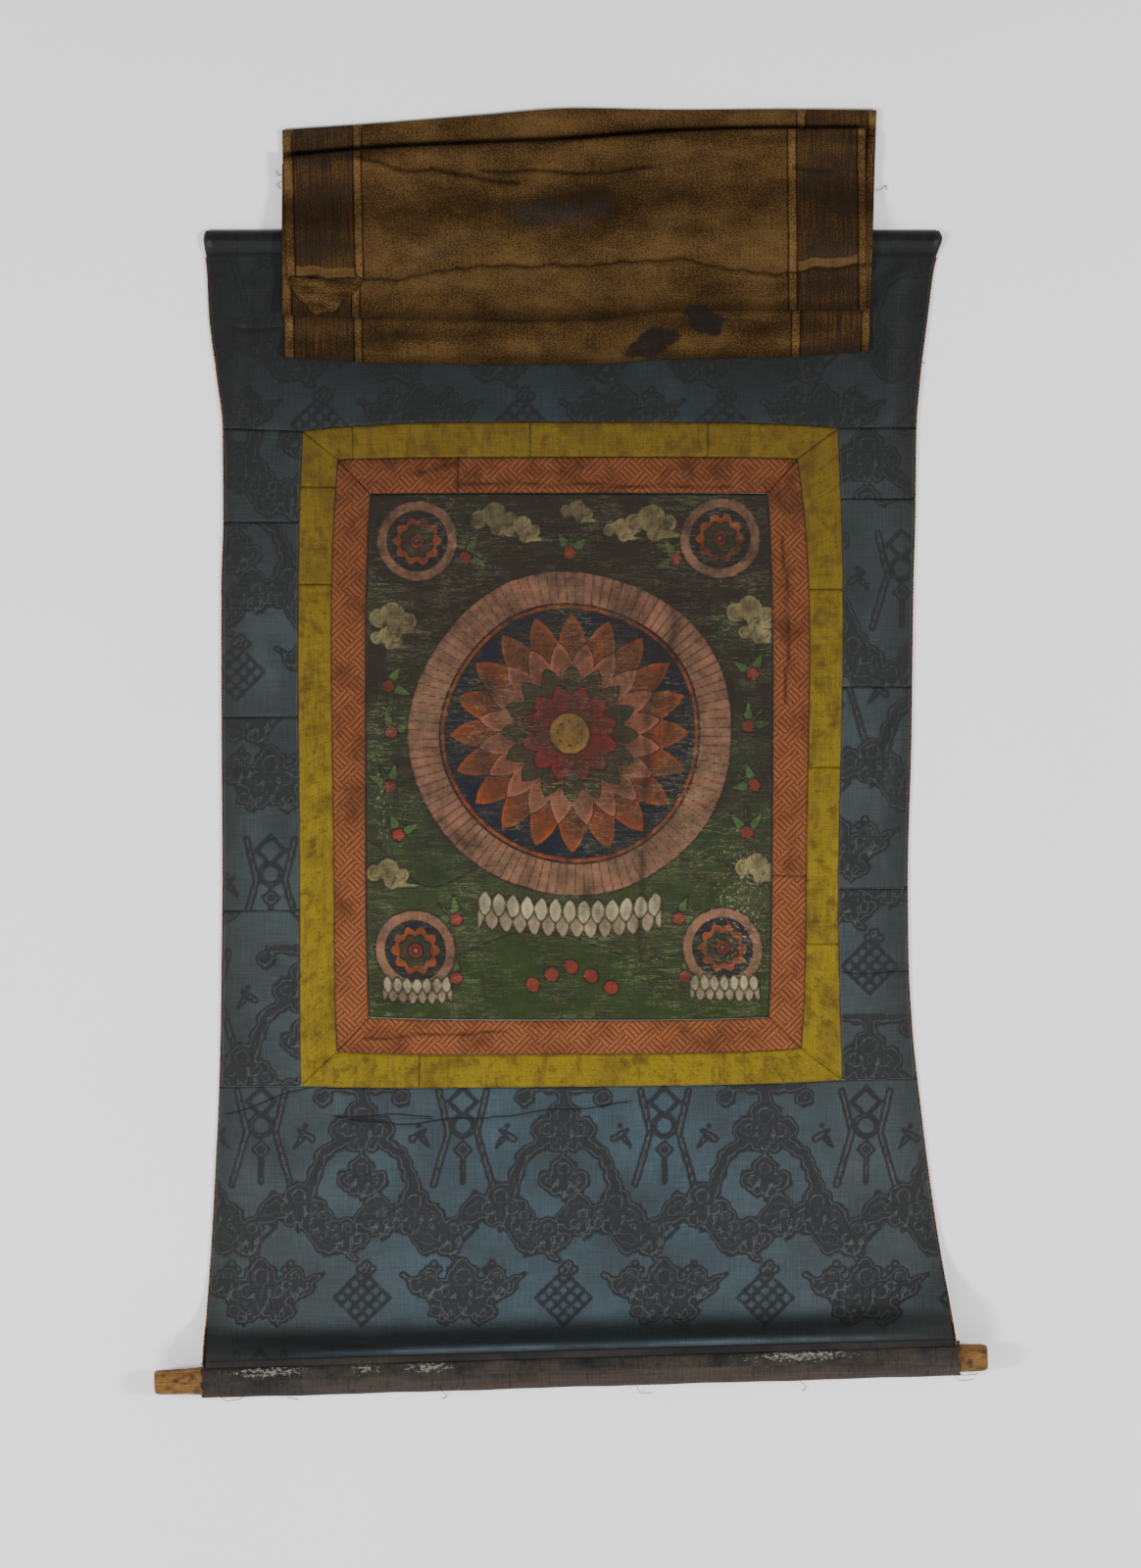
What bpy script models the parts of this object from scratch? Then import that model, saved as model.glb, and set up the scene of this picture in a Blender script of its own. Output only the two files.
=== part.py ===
"""A thangka scroll painting lying face up, its veil folded back over the head.

X runs to the right of the painting, Y to its head, Z up to whoever looks at it.
The undersides lie at Z = 0, and the origin is at the middle of the whole outline.
The tables are in millimetres; MM turns them into metres.
"""

from collections import namedtuple
from math import atan2, cos, hypot, pi, sin

import bmesh
import bpy
import numpy as np

MM = 0.001
COLLECTION = "thangka_scroll_painting"

# Cloth thicknesses and the gap left at every sewn seam
GAP = 0.4
MOUNT_THICK = 1.5
CANVAS_THICK = 1.2
VEIL_THICK = 0.9
EDGE_CORD_RADIUS = 0.9

# Sides of the mounting, from the head down
SideRow = namedtuple("SideRow", "y left right")
OUTLINE = (
    SideRow(479.3, -336.0, 338.5),
    SideRow(473.0, -337.6, 341.2),
    SideRow(462.0, -336.6, 338.0),
    SideRow(442.0, -334.4, 333.0),
    SideRow(403.0, -332.6, 328.1),
    SideRow(345.0, -325.4, 320.9),
    SideRow(297.0, -320.0, 317.3),
    SideRow(213.0, -319.4, 316.2),
    SideRow(154.0, -321.2, 314.6),
    SideRow(8.0, -320.9, 312.6),
    SideRow(-115.0, -320.2, 309.4),
    SideRow(-185.0, -320.9, 310.0),
    SideRow(-255.0, -321.8, 313.7),
    SideRow(-325.0, -323.8, 321.2),
    SideRow(-377.0, -326.3, 327.6),
    SideRow(-444.0, -329.9, 337.1),
    SideRow(-512.0, -334.4, 348.4),
    SideRow(-554.0, -337.1, 354.6),
    SideRow(-580.0, -337.3, 356.4),
)
HEAD_Y = 479.3
WAIST = OUTLINE[6]
OUTLINE_UP = OUTLINE[::-1]

# Sewn edges round the painting: two ends, how far the edge bows outward, and
# how far that bow leans to the edge's first end
Edge = namedtuple("Edge", "x0 y0 x1 y1 bow lean")
YELLOW_OUTER = {
    "top": Edge(-246.2, 295.7, 244.9, 298.4, 6.8, 0.6),
    "bottom": Edge(-248.0, -305.6, 249.3, -300.2, 3.4, 0.0),
    "left": Edge(-246.2, 295.7, -248.0, -305.6, 2.8, 1.2),
    "right": Edge(244.9, 298.4, 249.3, -300.2, 0.6, 3.2),
}
YELLOW_INNER = {
    "top": Edge(-213.8, 269.6, 207.5, 270.5, 1.8, 0.0),
    "bottom": Edge(-214.7, -274.1, 211.1, -271.1, 4.0, 0.0),
    "left": Edge(-213.8, 269.6, -214.7, -274.1, 4.8, 1.6),
    "right": Edge(207.5, 270.5, 211.1, -271.1, 8.6, 2.4),
}
PAINTING_EDGE = {
    "top": Edge(-184.1, 238.1, 180.5, 238.4, 0.6, 0.0),
    "bottom": Edge(-185.4, -242.6, 181.4, -242.6, 2.8, 0.0),
    "left": Edge(-184.1, 238.1, -185.4, -242.6, 3.9, 0.4),
    "right": Edge(180.5, 238.4, 181.4, -242.6, 4.2, 0.6),
}

# Where each border strip is pieced, as shares of its length
YELLOW_JOINS = {
    "top": (0.093, 0.425, 0.757),
    "right": (0.247, 0.520, 0.791),
    "bottom": (0.219,),
    "left": (0.085, 0.234),
}
ORANGE_JOINS = {"top": (0.261,), "right": (0.707,), "bottom": (), "left": ()}
STRIP_WIDTH = 30.0
STRIP_STEP = 34.0

# Heights at which the blue side pieces are joined, down each side
LEFT_JOINS = (212.0, 33.0, -144.5)
RIGHT_JOINS = (233.6, 60.8, -124.0)
TOP_PANEL_Y = (297.9, 298.8)
BOTTOM_PANEL_Y = (-306.2, -298.4)
MOUNT_COLUMNS = 20
CORNER_SHARE = 3 / MOUNT_COLUMNS
TOP_PANEL_ROWS = 10
BOTTOM_FLAT_ROWS = 8
SIDE_PIECE_ROWS = 5
PAINTING_COLUMNS, PAINTING_ROWS = 10, 14

# The stuffed hem along the head: local thickness against distance from the edge
HemRow = namedtuple("HemRow", "inset thick")
HEAD_HEM = (
    HemRow(0.0, 2.4),
    HemRow(1.6, 4.8),
    HemRow(4.6, 7.4),
    HemRow(9.0, 8.4),
    HemRow(14.0, 7.2),
    HemRow(18.0, 4.4),
    HemRow(21.0, MOUNT_THICK),
)

# How far below the hem the plain cloth's last row lies
HEM_APPROACH = 8.0

# The thread cord on both cut edges: it starts below the hem and has more points
# near the foot, where the cloth climbs
CORD_START = 5.0
CORD_STEPS = 56
CORD_CROWDING = 1.6

# The wooden roller and the cloth sleeve round it
SLEEVE_RADIUS = 16.6
SLEEVE_WALL = 1.5
ROLLER_CLEAR = 1.0
SLEEVE_LEFT = (-337.4, -575.3)
SLEEVE_RIGHT = (355.4, -554.4)
ROLLER_TILT = atan2(SLEEVE_RIGHT[1] - SLEEVE_LEFT[1], SLEEVE_RIGHT[0] - SLEEVE_LEFT[0])
SLEEVE_LENGTH = hypot(SLEEVE_RIGHT[0] - SLEEVE_LEFT[0], SLEEVE_RIGHT[1] - SLEEVE_LEFT[1])
KnobRow = namedtuple("KnobRow", "out radius")
LEFT_KNOB = (KnobRow(0.0, 13.6), KnobRow(4.0, 12.9), KnobRow(14.0, 12.0), KnobRow(37.0, 11.7),
             KnobRow(42.0, 11.2), KnobRow(44.0, 9.6))
RIGHT_KNOB = (KnobRow(0.0, 13.4), KnobRow(6.0, 13.0), KnobRow(20.0, 12.8), KnobRow(24.0, 12.2),
              KnobRow(26.0, 10.4))
KNOB_FACETS = 14
CORE_INSET = 3.0
SLEEVE_FACETS = 20
SLEEVE_RINGS = 14
SLEEVE_RIPPLE = 0.36
SLEEVE_RIPPLE_TURN = 2.3

# The bottom panel leaves the surface and climbs to the seam on the sleeve:
# height of its underside against distance from the roller's axis
RiseRow = namedtuple("RiseRow", "away height")
BOTTOM_RISE = (
    RiseRow(11.6, 28.8),
    RiseRow(15.0, 29.2),
    RiseRow(19.0, 29.0),
    RiseRow(23.0, 27.0),
    RiseRow(27.5, 22.5),
    RiseRow(32.5, 15.6),
    RiseRow(38.5, 8.8),
    RiseRow(46.0, 4.2),
    RiseRow(56.0, 1.4),
    RiseRow(70.0, 0.0),
)
# How much longer that climb is at the left edge, along the middle and at the right edge
ClimbRow = namedtuple("ClimbRow", "x stretch")
CLIMB = (ClimbRow(-337.0, 1.7), ClimbRow(-285.0, 1.15), ClimbRow(-200.0, 1.0),
         ClimbRow(190.0, 1.0), ClimbRow(290.0, 1.5), ClimbRow(356.0, 2.7))

# Ground under the folded veil: top panel, head hem, then the surface
GroundRow = namedtuple("GroundRow", "y height")
VEIL_GROUND = (
    GroundRow(340.0, 1.85),
    GroundRow(434.0, 1.85),
    GroundRow(449.0, 3.0),
    GroundRow(458.0, 6.4),
    GroundRow(464.0, 8.5),
    GroundRow(471.0, 8.9),
    GroundRow(478.0, 8.7),
    GroundRow(484.0, 7.4),
    GroundRow(492.0, 5.0),
    GroundRow(507.0, 1.9),
    GroundRow(530.0, 0.2),
    GroundRow(545.0, 0.0),
    GroundRow(600.0, 0.0),
)
# Heights up the page at which every layer has a row of points
LAYER_STATIONS = (395.0, 430.0, 449.0, 464.0, 478.0, 492.0, 507.0, 530.0, 560.0)
# Fold lines of the veil in the order the cloth passes them: their heights up the
# page at seven stations across, and where the cloth's left and right edges are
FOLD_STATIONS = (0.0, 0.17, 0.335, 0.5, 0.665, 0.83, 1.0)
FoldRow = namedtuple("FoldRow", "name a b c d e f g left right puff")
VEIL_FOLDS = (
    FoldRow("sewn_start", 466.0, 466.0, 466.5, 467.0, 467.0, 466.5, 466.0, -262.0, 272.0, 0.0),
    FoldRow("top_back", 571.8, 578.2, 585.4, 591.6, 590.3, 590.8, 590.0, -265.0, 280.4, 0.5),
    FoldRow("lowest", 363.1, 357.8, 356.3, 356.5, 361.4, 363.2, 368.9, -262.4, 273.6, 2.4),
    FoldRow("top_inner", 540.0, 547.0, 551.5, 555.0, 561.0, 565.0, 566.0, -265.0, 279.0, 0.4),
    FoldRow("middle", 401.8, 399.1, 397.8, 396.9, 406.1, 406.3, 406.8, -265.0, 271.4, 2.2),
    FoldRow("top_front", 546.8, 554.9, 558.9, 563.0, 569.7, 572.4, 573.0, -263.6, 269.8, 1.6),
    FoldRow("free_hem", 436.0, 434.2, 446.0, 446.8, 451.8, 439.6, 447.7, -260.8, 270.6, 0.0),
)
LAYER_PITCH = 1.9
PUFF_REACH = 26.0
FIRST_LAYER_HEIGHT = VEIL_THICK / 2
STATION_MARGIN = 8.0
ARC_ANGLES = (55.0, 125.0)
BACK_LAYER_REACHES = 462.0
BACK_LAYER_SETTLES = 438.0

# Creases of the veil's front layer: a soft ridge between two points
CreaseRow = namedtuple("CreaseRow", "x0 y0 x1 y1 height width")
FRONT_CREASES = (
    CreaseRow(-195.0, 546.0, -149.0, 533.0, 1.6, 13.0),
    CreaseRow(-149.0, 533.0, -49.0, 521.0, 2.0, 13.0),
    CreaseRow(-49.0, 521.0, 75.0, 536.0, 1.2, 12.0),
    CreaseRow(75.0, 500.0, 200.0, 521.0, 1.4, 15.0),
    CreaseRow(-180.0, 470.0, 60.0, 482.0, 1.0, 18.0),
)

# Widths of the veil's pieces, as shares of its width from left to right
StripRow = namedtuple("StripRow", "name start end columns color")
VEIL_OCHRE = (0.110, 0.062, 0.020)
VEIL_SILK = (0.085, 0.050, 0.017)
VEIL_DARK = (0.042, 0.025, 0.012)
VEIL_STRIPS = (
    StripRow("veil_edge_left", 0.0, 0.016, 1, VEIL_OCHRE),
    StripRow("veil_border_left", 0.016, 0.119, 2, VEIL_DARK),
    StripRow("veil_strip_left", 0.119, 0.133, 1, VEIL_OCHRE),
    StripRow("veil_centre", 0.133, 0.866, 13, VEIL_SILK),
    StripRow("veil_strip_right", 0.866, 0.881, 1, VEIL_OCHRE),
    StripRow("veil_border_right", 0.881, 0.986, 2, VEIL_DARK),
    StripRow("veil_edge_right", 0.986, 1.0, 1, VEIL_OCHRE),
)

BLUE_DAMASK = (0.046, 0.060, 0.068)
YELLOW_SILK = (0.250, 0.165, 0.018)
ORANGE_SILK = (0.220, 0.082, 0.030)
PAINTED_COTTON = (0.100, 0.070, 0.040)
SLEEVE_CLOTH = (0.060, 0.050, 0.044)
ROLLER_WOOD = (0.220, 0.120, 0.045)
EDGE_THREAD = (0.090, 0.048, 0.020)

# Roughness of each finish
DULL_CLOTH = 0.9
THREAD_ROUGH = 0.85
SATIN_ROUGH = 0.7
DAMASK_ROUGH = 0.6
PAINT_ROUGH = 0.6
WOOD_ROUGH = 0.55

# A panel's grid settles on its slanting seam in so many passes, and a slanting seam may
# run on past the waist by this share of its own length
SEAM_PASSES = 4
PAST_WAIST = 1.2
SIDE_PIECE_COLUMNS = 2
MERGE_DISTANCE = 0.00001


def clear_scene():
    """Removes what the scene starts with."""
    for item in list(bpy.context.scene.objects):
        bpy.data.objects.remove(item, do_unlink=True)


def parts_collection():
    """The collection that holds every piece."""
    found = bpy.data.collections.get(COLLECTION)
    if found is None:
        found = bpy.data.collections.new(COLLECTION)
        bpy.context.scene.collection.children.link(found)
    return found


def cloth_material(name, color, roughness):
    """A plain matte material in the piece's own colour."""
    material = bpy.data.materials.new(name)
    material.use_nodes = True
    shader = material.node_tree.nodes["Principled BSDF"]
    shader.inputs["Base Color"].default_value = (*color, 1.0)
    shader.inputs["Roughness"].default_value = roughness
    shader.inputs["Metallic"].default_value = 0.0
    return material


def add_object(name, data, color, roughness):
    """Puts a mesh or curve in the collection as a named piece with its own material."""
    piece = bpy.data.objects.new(name, data)
    parts_collection().objects.link(piece)
    data.materials.append(cloth_material(name, color, roughness))
    return piece


def smooth_through(stations, values, at):
    """A smooth curve through (station, value) pairs, cubic between neighbours. The slope
    at a pair is the harmonic mean of the slopes on its two sides, or level where they
    turn, so that the curve never swings past its pairs."""
    stations, values = np.asarray(stations, float), np.asarray(values, float)
    secant = np.diff(values) / np.diff(stations)
    turn = secant[:-1] * secant[1:]
    total = np.where(secant[:-1] + secant[1:] == 0, 1.0, secant[:-1] + secant[1:])
    slope = np.concatenate([secant[:1], np.where(turn > 0, 2 * turn / total, 0.0), secant[-1:]])
    at = np.clip(np.asarray(at, float), stations[0], stations[-1])
    i = np.clip(np.searchsorted(stations, at) - 1, 0, len(stations) - 2)
    span = stations[i + 1] - stations[i]
    t = (at - stations[i]) / span
    return (
        (2 * t**3 - 3 * t**2 + 1) * values[i]
        + (t**3 - 2 * t**2 + t) * span * slope[i]
        + (3 * t**2 - 2 * t**3) * values[i + 1]
        + (t**3 - t**2) * span * slope[i + 1]
    )


def eased(t):
    """0 to 1 with a soft start and end."""
    t = np.clip(t, 0.0, 1.0)
    return t * t * (3 - 2 * t)


def left_side(y):
    """Left edge of the mounting at a height."""
    return smooth_through([r.y for r in OUTLINE_UP], [r.left for r in OUTLINE_UP], y)


def right_side(y):
    """Right edge of the mounting at a height."""
    return smooth_through([r.y for r in OUTLINE_UP], [r.right for r in OUTLINE_UP], y)


def bulge(edge, t):
    """How far an edge stands outward of the straight line between its ends."""
    return edge.bow * (1 - (2 * t - 1) ** 4) + edge.lean * np.sin(2 * pi * t)


def edge_points(ring, side, t):
    """X and Y along one edge of a ring; t runs from its first end to its second."""
    edge = ring[side]
    x = edge.x0 + (edge.x1 - edge.x0) * t
    y = edge.y0 + (edge.y1 - edge.y0) * t
    outward = {"top": (0, 1), "bottom": (0, -1), "left": (-1, 0), "right": (1, 0)}[side]
    return x + outward[0] * bulge(edge, t), y + outward[1] * bulge(edge, t)


def height_on_edge(ring, side, x):
    """Y of a top or bottom edge at an X."""
    edge = ring[side]
    return edge_points(ring, side, (x - edge.x0) / (edge.x1 - edge.x0))[1]


def place_on_edge(ring, side, y):
    """X of a left or right edge at a Y."""
    edge = ring[side]
    return edge_points(ring, side, (y - edge.y0) / (edge.y1 - edge.y0))[0]


def away_from_roller(x, y):
    """Distance on the page from the roller's axis, to the head."""
    return (y - SLEEVE_LEFT[1]) * cos(ROLLER_TILT) - (x - SLEEVE_LEFT[0]) * sin(ROLLER_TILT)


def roller_line(x, away):
    """Y of the line that lies this far from the roller's axis."""
    return SLEEVE_LEFT[1] + ((x - SLEEVE_LEFT[0]) * sin(ROLLER_TILT) + away) / cos(ROLLER_TILT)


def rise(x, y):
    """Height of the mounting's underside: flat, then up to the seam on the sleeve."""
    stretch = smooth_through([r.x for r in CLIMB], [r.stretch for r in CLIMB], x)
    seam = BOTTOM_RISE[0].away
    away = seam + (away_from_roller(x, y) - seam) / stretch
    aways = [r.away for r in BOTTOM_RISE]
    height = smooth_through(aways, [r.height for r in BOTTOM_RISE], away)
    return np.where(away >= aways[-1], 0.0, np.maximum(height, 0.0))


def grid_surface(name, columns, rows, place):
    """An open grid mesh; place(u, v) gives the points in millimetres, u to the right
    and v up, both from 0 to 1."""
    bm = bmesh.new()
    bmesh.ops.create_grid(bm, x_segments=columns, y_segments=rows, size=0.5)
    mesh = bpy.data.meshes.new(name)
    bm.to_mesh(mesh)
    bm.free()
    flat = np.zeros(len(mesh.vertices) * 3, np.float32)
    mesh.vertices.foreach_get("co", flat)
    uv = flat.reshape(-1, 3).astype(float) + 0.5
    points = place(uv[:, 0], uv[:, 1])
    mesh.vertices.foreach_set("co", (np.stack(points, axis=1) * MM).ravel())
    mesh.update()
    return mesh


def thicken(piece, thick, offset=1.0, group=None):
    """Gives an open surface its cloth thickness: upward with offset 1, both ways with 0."""
    solidify = piece.modifiers.new("Cloth thickness", "SOLIDIFY")
    solidify.thickness = thick * MM
    solidify.offset = offset
    solidify.use_even_offset = False
    if group:
        solidify.vertex_group = group


def sheet(name, columns, rows, place, thick, color, roughness):
    """A flat or gently lifted piece of cloth, its underside on the given surface."""
    piece = add_object(name, grid_surface(name, columns, rows, place), color, roughness)
    thicken(piece, thick)
    return piece


def inset_share(share, length):
    """Share of a length kept back at each end, so that two pieces leave a seam gap."""
    margin = GAP / 2 / length
    return margin + (1 - 2 * margin) * share


def facing_share(outer, inner, side, share):
    """Share of the inner edge that lies straight across from a share of the outer edge;
    the ends face each other along the mitre."""
    if share in (0.0, 1.0):
        return share
    x, y = edge_points(outer, side, share)
    edge = inner[side]
    if side in ("top", "bottom"):
        return (x - edge.x0) / (edge.x1 - edge.x0)
    return (y - edge.y0) / (edge.y1 - edge.y0)


def strip_surface(outer, inner, side, start, end):
    """Points of a border strip between two shares of a side, out to the outer ring."""
    edge = outer[side]
    run = (end - start) * hypot(edge.x1 - edge.x0, edge.y1 - edge.y0)
    inner_start = facing_share(outer, inner, side, start)
    inner_end = facing_share(outer, inner, side, end)

    def place(u, v):
        along, across = inset_share(u, run), inset_share(v, STRIP_WIDTH)
        outer_x, outer_y = edge_points(outer, side, start + (end - start) * along)
        inner_x, inner_y = edge_points(inner, side, inner_start + (inner_end - inner_start) * along)
        x = inner_x + (outer_x - inner_x) * across
        y = inner_y + (outer_y - inner_y) * across
        return x, y, np.zeros_like(x)

    return place, max(3, round(run / STRIP_STEP))


def border_strips(prefix, outer, inner, joins, color):
    """Mitred strips between two rings, each pieced at its joins."""
    for side in ("top", "right", "bottom", "left"):
        cuts = (0.0, *joins[side], 1.0)
        for number, (start, end) in enumerate(zip(cuts, cuts[1:]), 1):
            place, columns = strip_surface(outer, inner, side, start, end)
            name = f"{prefix}_{side}_{number}" if joins[side] else f"{prefix}_{side}"
            piece = sheet(name, columns, 1, place, MOUNT_THICK, color, SATIN_ROUGH)
            if side in ("bottom", "left"):
                piece.data.flip_normals()


def painting():
    """The painted cotton, held by the inner border on all four sides."""
    width = PAINTING_EDGE["top"].x1 - PAINTING_EDGE["top"].x0
    height = PAINTING_EDGE["left"].y0 - PAINTING_EDGE["left"].y1

    def place(u, v):
        u, v = inset_share(u, width), inset_share(v, height)
        left_x, left_y = edge_points(PAINTING_EDGE, "left", 1 - v)
        right_x, right_y = edge_points(PAINTING_EDGE, "right", 1 - v)
        top_x, top_y = edge_points(PAINTING_EDGE, "top", u)
        bottom_x, bottom_y = edge_points(PAINTING_EDGE, "bottom", u)
        x = left_x + (right_x - left_x) * u
        y = bottom_y + (top_y - bottom_y) * v
        return x, y, np.zeros_like(x)

    sheet("painting_canvas", PAINTING_COLUMNS, PAINTING_ROWS, place, CANVAS_THICK,
          PAINTED_COTTON, PAINT_ROUGH)


def side_pieces():
    """The blue pieces down each side, between the outline and the yellow border."""
    for side, joins in (("left", LEFT_JOINS), ("right", RIGHT_JOINS)):
        inner_top = YELLOW_OUTER[side].y0
        inner_bottom = YELLOW_OUTER[side].y1
        column = 0 if side == "left" else 1
        tops = ((TOP_PANEL_Y[column], inner_top), *((y, y) for y in joins))
        bottoms = (*((y, y) for y in joins), (BOTTOM_PANEL_Y[column], inner_bottom))
        for number, (top, bottom) in enumerate(zip(tops, bottoms), 1):
            place = side_piece_surface(side, top, bottom)
            sheet(f"mount_{side}_{number}", SIDE_PIECE_COLUMNS, SIDE_PIECE_ROWS, place, MOUNT_THICK,
                  BLUE_DAMASK, DAMASK_ROUGH)


def side_piece_surface(side, top, bottom):
    """Points of one side piece; top and bottom give the seam's height at the
    outline and at the yellow border."""
    outline = left_side if side == "left" else right_side
    inward = 1 if side == "left" else -1
    margin = inward * (2 * EDGE_CORD_RADIUS + GAP)

    def place(u, v):
        v = inset_share(v, top[0] - bottom[0])
        share = u if side == "left" else 1 - u
        y = bottom[0] + (top[0] - bottom[0]) * v
        y_inner = bottom[1] + (top[1] - bottom[1]) * v
        outer_x = outline(y) + margin
        inner_x = place_on_edge(YELLOW_OUTER, side, y_inner) - inward * GAP / 2
        x = outer_x + (inner_x - outer_x) * share
        return x, y + (y_inner - y) * share, np.zeros_like(x)

    return place


def across_mounting(u, y):
    """X at a share of the mounting's width, with two shares kept for the yellow
    border's corners, so that a corner of the grid falls on each of them."""
    margin = 2 * EDGE_CORD_RADIUS + GAP
    left, right = left_side(y) + margin, right_side(y) - margin
    left_corner = (YELLOW_OUTER["top"].x0 + YELLOW_OUTER["bottom"].x0) / 2
    right_corner = (YELLOW_OUTER["top"].x1 + YELLOW_OUTER["bottom"].x1) / 2
    first = np.clip(u / CORNER_SHARE, 0, 1)
    middle = np.clip((u - CORNER_SHARE) / (1 - 2 * CORNER_SHARE), 0, 1)
    last = np.clip((u - 1 + CORNER_SHARE) / CORNER_SHARE, 0, 1)
    x = left + (left_corner - left) * first
    x = x + (right_corner - left_corner) * middle
    return x + (right - right_corner) * last


def seam_line(ring_side, outer_y):
    """Y against X of the seam where a full-width panel meets the side pieces and
    the yellow border: straight to the border's corner, then along its edge."""
    edge = YELLOW_OUTER[ring_side]

    def at(x):
        along = height_on_edge(YELLOW_OUTER, ring_side, np.clip(x, edge.x0, edge.x1))
        left_y = edge.y0 + (outer_y[0] - edge.y0) * np.clip(
            (edge.x0 - x) / (edge.x0 - WAIST.left), 0, PAST_WAIST)
        right_y = edge.y1 + (outer_y[1] - edge.y1) * np.clip(
            (x - edge.x1) / (WAIST.right - edge.x1), 0, PAST_WAIST)
        return np.where(x < edge.x0, left_y, np.where(x > edge.x1, right_y, along))

    return at


def panel_surface(low, high, level, shares):
    """Points of a full-width panel between two lines given as Y against X."""

    def place(u, v):
        v = np.interp(v, np.linspace(0, 1, len(shares)), shares)
        y = low(np.zeros_like(u)) + (high(np.zeros_like(u)) - low(np.zeros_like(u))) * v
        for _ in range(SEAM_PASSES):
            x = across_mounting(u, y)
            y = low(x) + (high(x) - low(x)) * v
        return x, y, level(x, y)

    return place


def top_panel():
    """The full-width panel at the head, with its thick rounded hem."""
    seam = seam_line("top", TOP_PANEL_Y)
    length = HEAD_Y - YELLOW_OUTER["top"].y0
    insets = [row.inset for row in HEAD_HEM]
    cloth_rows = np.linspace(0.0, 1 - (insets[-1] + HEM_APPROACH) / length, TOP_PANEL_ROWS)
    hem_rows = [1 - inset / length for inset in insets[::-1]]
    shares = np.array([*cloth_rows, *hem_rows])
    place = panel_surface(
        lambda x: seam(x) + GAP / 2,
        lambda x: HEAD_Y + 0 * x,
        lambda x, y: 0 * x,
        shares,
    )
    rows = len(shares) - 1
    mesh = grid_surface("mount_top_panel", MOUNT_COLUMNS, rows, place)
    piece = add_object("mount_top_panel", mesh, BLUE_DAMASK, DAMASK_ROUGH)
    thickest = max(row.thick for row in HEAD_HEM)
    group = piece.vertex_groups.new(name="hem")
    for vertex in mesh.vertices:
        inset = HEAD_Y - vertex.co.y / MM
        thick = float(np.interp(inset, insets, [row.thick for row in HEAD_HEM]))
        group.add([vertex.index], thick / thickest, "REPLACE")
    thicken(piece, thickest, group="hem")


def bottom_panel():
    """The full-width panel at the foot, flat and then lifted to the roller's sleeve."""
    seam = seam_line("bottom", BOTTOM_PANEL_Y)
    foot = BOTTOM_RISE[0].away
    length = away_from_roller(0.0, BOTTOM_PANEL_Y[0]) - foot
    climb_rows = [(row.away - foot) / length for row in BOTTOM_RISE]
    flat_rows = np.linspace(climb_rows[-1], 1.0, BOTTOM_FLAT_ROWS + 1)[1:]
    shares = np.array([*climb_rows, *flat_rows])
    place = panel_surface(
        lambda x: roller_line(x, foot),
        lambda x: seam(x) - GAP / 2,
        rise,
        shares,
    )
    rows = len(shares) - 1
    sheet("mount_bottom_panel", MOUNT_COLUMNS, rows, place, MOUNT_THICK, BLUE_DAMASK, DAMASK_ROUGH)


def edge_cords():
    """The overcast brown thread edge down both sides, a cord on the cut edge."""
    for side, outline, inward in (("left", left_side, 1), ("right", right_side, -1)):
        top = HEAD_Y - HEAD_HEM[-1].inset - CORD_START
        foot_x = outline(OUTLINE[-1].y)
        bottom = roller_line(foot_x, BOTTOM_RISE[0].away + 1.0)
        share = np.linspace(0.0, 1.0, CORD_STEPS + 1)
        y = top + (bottom - top) * (1 - (1 - share) ** CORD_CROWDING)
        x = outline(y) + inward * EDGE_CORD_RADIUS
        z = rise(x, y) + EDGE_CORD_RADIUS
        curve = bpy.data.curves.new(f"edge_cord_{side}", "CURVE")
        curve.dimensions = "3D"
        curve.bevel_depth = EDGE_CORD_RADIUS * MM
        curve.bevel_resolution = 1
        curve.use_fill_caps = True
        spline = curve.splines.new("POLY")
        spline.points.add(CORD_STEPS)
        spline.points.foreach_set(
            "co", (np.stack([x, y, z, np.full_like(x, 1 / MM)], axis=1) * MM).ravel())
        add_object(f"edge_cord_{side}", curve, EDGE_THREAD, THREAD_ROUGH)


def turned(name, profile, segments, color, roughness):
    """A turned piece: (along, radius) pairs spun round the roller's axis. The pairs run
    from the left, along X, and the piece is then laid on the axis on the page."""
    mesh = bpy.data.meshes.new(name)
    points = [(along * MM, 0.0, radius * MM) for along, radius in profile]
    mesh.from_pydata(points, [(i, i + 1) for i in range(len(points) - 1)], [])
    piece = add_object(name, mesh, color, roughness)
    spin = piece.modifiers.new("Turn", "SCREW")
    spin.axis = "X"
    spin.angle = 2 * pi
    spin.steps = segments
    spin.render_steps = segments
    spin.use_merge_vertices = True
    spin.merge_threshold = MERGE_DISTANCE
    spin.use_smooth_shade = True
    spin.use_normal_flip = True
    piece.location = (SLEEVE_LEFT[0] * MM, SLEEVE_LEFT[1] * MM, SLEEVE_RADIUS * MM)
    piece.rotation_euler = (0.0, 0.0, ROLLER_TILT)
    return piece


def roller():
    """The wooden roller, one turned length with a plain knob at each end."""
    core = SLEEVE_RADIUS - SLEEVE_WALL - ROLLER_CLEAR
    left = [(-row.out, row.radius) for row in LEFT_KNOB[::-1]]
    right = [(SLEEVE_LENGTH + row.out, row.radius) for row in RIGHT_KNOB]
    inner = [(CORE_INSET, core), (SLEEVE_LENGTH / 2, core), (SLEEVE_LENGTH - CORE_INSET, core)]
    profile = [(left[0][0], 0.0), *left, *inner, *right, (right[-1][0], 0.0)]
    turned("roller", profile, KNOB_FACETS, ROLLER_WOOD, WOOD_ROUGH)


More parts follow.
